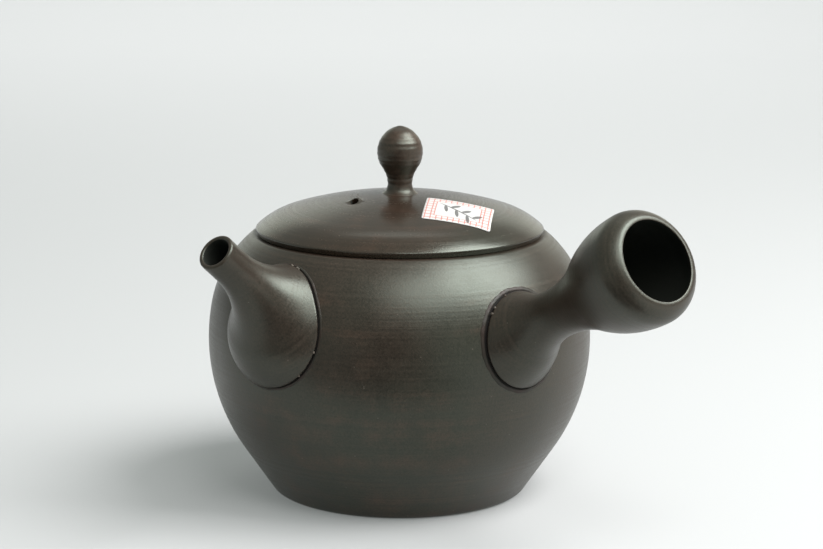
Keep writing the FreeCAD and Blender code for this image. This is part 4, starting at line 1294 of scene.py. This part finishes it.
class TEAPOT_OT_knob(bpy.types.Operator):
    """Turn the knob with its uneven rings"""

    bl_idname = "teapot.knob"
    bl_label = "Knob"

    def execute(self, context):
        settings = context.scene.teapot
        knob = settings.knob
        seat = LidForm(settings).height_at(knob.foot_radius) - KNOB_SINK
        drop = knob.waist_height
        flare = knob.foot_radius - knob.waist_radius
        flare_radius = (drop**2 + flare**2) / (2 * flare)
        flare_centre = (knob.waist_radius + flare_radius, knob.waist_height)
        flare_start = math.pi + math.asin(drop / flare_radius)
        flare_arc = arc(flare_centre, flare_radius, flare_start, math.pi, 14)
        grow = knob.radius - knob.waist_radius
        climb = knob.middle_height - knob.waist_height
        half_swell = (climb**2 + grow**2) / (4 * grow)
        ends = ((knob.waist_radius, knob.waist_height), (knob.radius, knob.middle_height))
        heights = [knob.waist_height + climb * i / KNOB_ROWS for i in range(KNOB_ROWS + 1)]
        neck = [(swell(h, *ends, half_swell), h) for h in heights]
        tip_height = knob.height - knob.tip_round
        rise = tip_height - knob.middle_height
        crown = (knob.radius**2 + rise**2 - knob.tip_round**2) / (2 * (knob.radius - knob.tip_round))
        crown_centre = (knob.radius - crown, knob.middle_height)
        crown_end = math.atan2(rise, -crown_centre[0])
        crown_arc = arc(crown_centre, crown, 0.0, crown_end, KNOB_ROWS)
        tip_arc = arc((0.0, tip_height), knob.tip_round, crown_end, math.pi / 2, 8)
        line = chain(flare_arc, neck, crown_arc, tip_arc)
        profile = [(0.0, seat)] + [(self.turned(r, h, knob), seat + h) for r, h in line]
        piece = lathe("knob_clay", profile, KNOB_STEPS)
        clay = stoneware(settings.finish, "knob_stoneware", warmth=0.75)
        finish_piece(piece, clay, "lid", "stoneware", "lid_knob")
        return {"FINISHED"}

    @staticmethod
    def turned(radius, height, knob):
        """A radius of the knob, moved by the rings that the turning tool left."""
        if radius < MM:
            return radius
        beat = math.tau * height / knob.ring_pitch
        wave = 0.7 * math.sin(beat + 0.8 * math.sin(beat * 0.31)) + 0.3 * math.sin(beat * 0.53 + 1.0)
        return radius + knob.ring * wave * min(1.0, radius / KNOB_CALM)


class TEAPOT_OT_label(bpy.types.Operator):
    """Lay the paper label on the dome"""

    bl_idname = "teapot.label"
    bl_label = "Label"

    def execute(self, context):
        settings = context.scene.teapot
        form = LidForm(settings)
        label = settings.label
        middle = Vector((math.cos(label.turn), math.sin(label.turn), 0.0)) * label.distance
        place = Matrix.Translation(middle) @ Matrix.Rotation(label.twist, 4, "Z")
        sides = (label.width / 2, label.depth / 2)
        wide = LABEL_STEPS + 1
        points = []
        faces = []
        for i in range(wide):
            for j in range(wide):
                spot = [side * (2 * k / LABEL_STEPS - 1) for side, k in zip(sides, (i, j))]
                spot = self.rounded(spot, sides, label)
                world = place @ Vector((*spot, 0.0))
                lift = label.gap + label.curl * self.curled(spot, sides)
                points.append((*spot, form.height_at(math.hypot(world.x, world.y)) + lift))
                if i < LABEL_STEPS and j < LABEL_STEPS:
                    first = i * wide + j
                    faces.append((first, first + wide, first + wide + 1, first + 1))
        mesh = faced("label_paper", points, faces)
        smooth(mesh)
        piece = put("label_paper", mesh)
        piece.matrix_world = place
        sheet = piece.modifiers.new("paper", "SOLIDIFY")
        sheet.thickness = label.paper
        sheet.offset = 1.0
        finish_piece(piece, label_paper(settings.finish, label), "lid", "paper", "paper_label")
        return {"FINISHED"}

    @staticmethod
    def rounded(point, sides, label):
        """A point of the sheet, drawn in where it lies outside a rounded corner."""
        over = [abs(p) - (side - label.corner) for p, side in zip(point, sides)]
        if min(over) <= 0:
            return point
        reach = math.hypot(*over)
        keep = min(1.0, label.corner / reach)
        drawn = zip(point, sides, over)
        return [math.copysign(side - label.corner + o * keep, p) for p, side, o in drawn]

    @staticmethod
    def curled(point, sides):
        """1 at the corner that has lifted, 0 away from it."""
        toward = point[0] / sides[0] - point[1] / sides[1]
        return (max(0.0, toward - CURL_START) / (2.0 - CURL_START)) ** 2


class TEAPOT_OT_stage(bpy.types.Operator):
    """Set the floor, the lights and the camera"""

    bl_idname = "teapot.stage"
    bl_label = "Stage"

    def execute(self, context):
        settings = context.scene.teapot
        stage = settings.stage
        scene = context.scene
        toward = Vector((math.cos(stage.azimuth), math.sin(stage.azimuth), 0.0))
        right = Vector((-toward.y, toward.x, 0.0))
        up = Vector((0.0, 0.0, 1.0))

        curve = stage.sweep_curve
        bend = arc((-stage.sweep_start, curve), curve, -math.pi / 2, -math.pi, 24)
        top = (bend[-1][0], stage.sweep_height)
        line = chain(run((FLOOR_REACH, 0.0), bend[0], 20), bend, run(bend[-1], top, 4))
        ends = (-FLOOR_REACH, FLOOR_REACH)
        points = [toward * away + right * x + up * (z - FLOOR_DROP) for away, z in line for x in ends]
        faces = [(2 * i, 2 * i + 1, 2 * i + 3, 2 * i + 2) for i in range(len(line) - 1)]
        mesh = faced("studio_floor", points, faces)
        smooth(mesh)
        mesh.materials.append(floor_paper(settings.finish, stage.glow))
        floor = put("studio_floor", mesh)

        points = [toward * away + right * x + up * z for away, *ends, z in CARD_EDGES for x in ends]
        mesh = faced("dark_card", points, [(0, 1, 3, 2), (2, 3, 5, 4)])
        mesh.materials.append(dark_felt())
        flag = put("dark_card", mesh)
        flag.visible_camera = False
        flag.visible_diffuse = False
        flag.visible_shadow = False

        world = bpy.data.worlds.new("studio_white")
        world.use_nodes = True
        surround = world.node_tree.nodes["Background"]
        surround.inputs["Color"].default_value = SURROUND
        surround.inputs["Strength"].default_value = stage.sky
        scene.world = world
        scene.view_settings.view_transform = "Standard"

        aim = up * settings.pot.belly_height
        for name, source, (x, y, z), *setting in POT_LAMPS:
            self.lamp(name, aim, right * x + toward * y + up * z, getattr(stage, source), *setting)
        setting = (FLOOR_LAMP_HEIGHT, FLOOR_LAMP_WIDTH, FLOOR_LAMP_SPREAD, PLAIN_LIGHT)
        for name, source, (x, y) in FLOOR_LAMPS:
            self.lamp(name, right * x + toward * y, up, getattr(stage, source), *setting)

        ahead = -toward * math.cos(stage.pan) + right * math.sin(stage.pan)
        side = Vector((ahead.y, -ahead.x, 0.0))
        look = ahead * math.cos(stage.tilt) - up * math.sin(stage.tilt)
        rise = ahead * math.sin(stage.tilt) + up * math.cos(stage.tilt)
        across = side * math.cos(stage.roll) - rise * math.sin(stage.roll)
        upward = side * math.sin(stage.roll) + rise * math.cos(stage.roll)
        lens = bpy.data.cameras.new("photo_camera")
        lens.sensor_fit = "HORIZONTAL"
        lens.sensor_width = 36.0
        lens.lens = stage.lens
        camera = put("photo_camera", lens)
        turned = Matrix((across, upward, -look)).transposed().to_4x4()
        camera.matrix_world = Matrix.Translation(toward * stage.distance + up * stage.height) @ turned
        scene.camera = camera
        return {"FINISHED"}

    @staticmethod
    def lamp(name, aim, direction, watts, distance, width, spread, tint):
        """A round soft lamp at a distance from what it aims at."""
        light = bpy.data.lights.new(name, "AREA")
        light.color = tint
        light.shape = "DISK"
        light.size = width
        light.energy = watts
        light.spread = math.radians(spread)
        way = direction.normalized()
        turned = way.to_track_quat("Z", "Y").to_matrix().to_4x4()
        put(name, light).matrix_world = Matrix.Translation(aim + way * distance) @ turned


OPERATORS = (
    TEAPOT_OT_pot,
    TEAPOT_OT_spout,
    TEAPOT_OT_strainer,
    TEAPOT_OT_handle,
    TEAPOT_OT_lid,
    TEAPOT_OT_knob,
    TEAPOT_OT_label,
    TEAPOT_OT_stage,
)


class TEAPOT_PT_pieces(bpy.types.Panel):
    """Lists the steps that build the teapot"""

    bl_idname = "TEAPOT_PT_pieces"
    bl_label = "Teapot"
    bl_space_type = "VIEW_3D"
    bl_region_type = "UI"
    bl_category = "Teapot"

    def draw(self, context):
        for operator in OPERATORS:
            self.layout.operator(operator.bl_idname)


GROUPS = (
    PotSizes,
    SpoutSizes,
    StrainerSizes,
    HandleSizes,
    SeamSizes,
    LidSizes,
    KnobSizes,
    LabelSizes,
    Finish,
    StageSizes,
    TeapotSettings,
)


def register():
    for group in GROUPS:
        bpy.utils.register_class(group)
    for operator in OPERATORS:
        bpy.utils.register_class(operator)
    bpy.utils.register_class(TEAPOT_PT_pieces)
    bpy.types.Scene.teapot = PointerProperty(type=TeapotSettings)


def unregister():
    del bpy.types.Scene.teapot
    bpy.utils.unregister_class(TEAPOT_PT_pieces)
    for operator in reversed(OPERATORS):
        bpy.utils.unregister_class(operator)
    for group in reversed(GROUPS):
        bpy.utils.unregister_class(group)


def main():
    register()
    bpy.ops.teapot.pot()
    bpy.ops.teapot.spout()
    bpy.ops.teapot.strainer()
    bpy.ops.teapot.handle()
    bpy.ops.teapot.lid()
    bpy.ops.teapot.knob()
    bpy.ops.teapot.label()
    bpy.ops.teapot.stage()


if __name__ == "__main__":
    main()
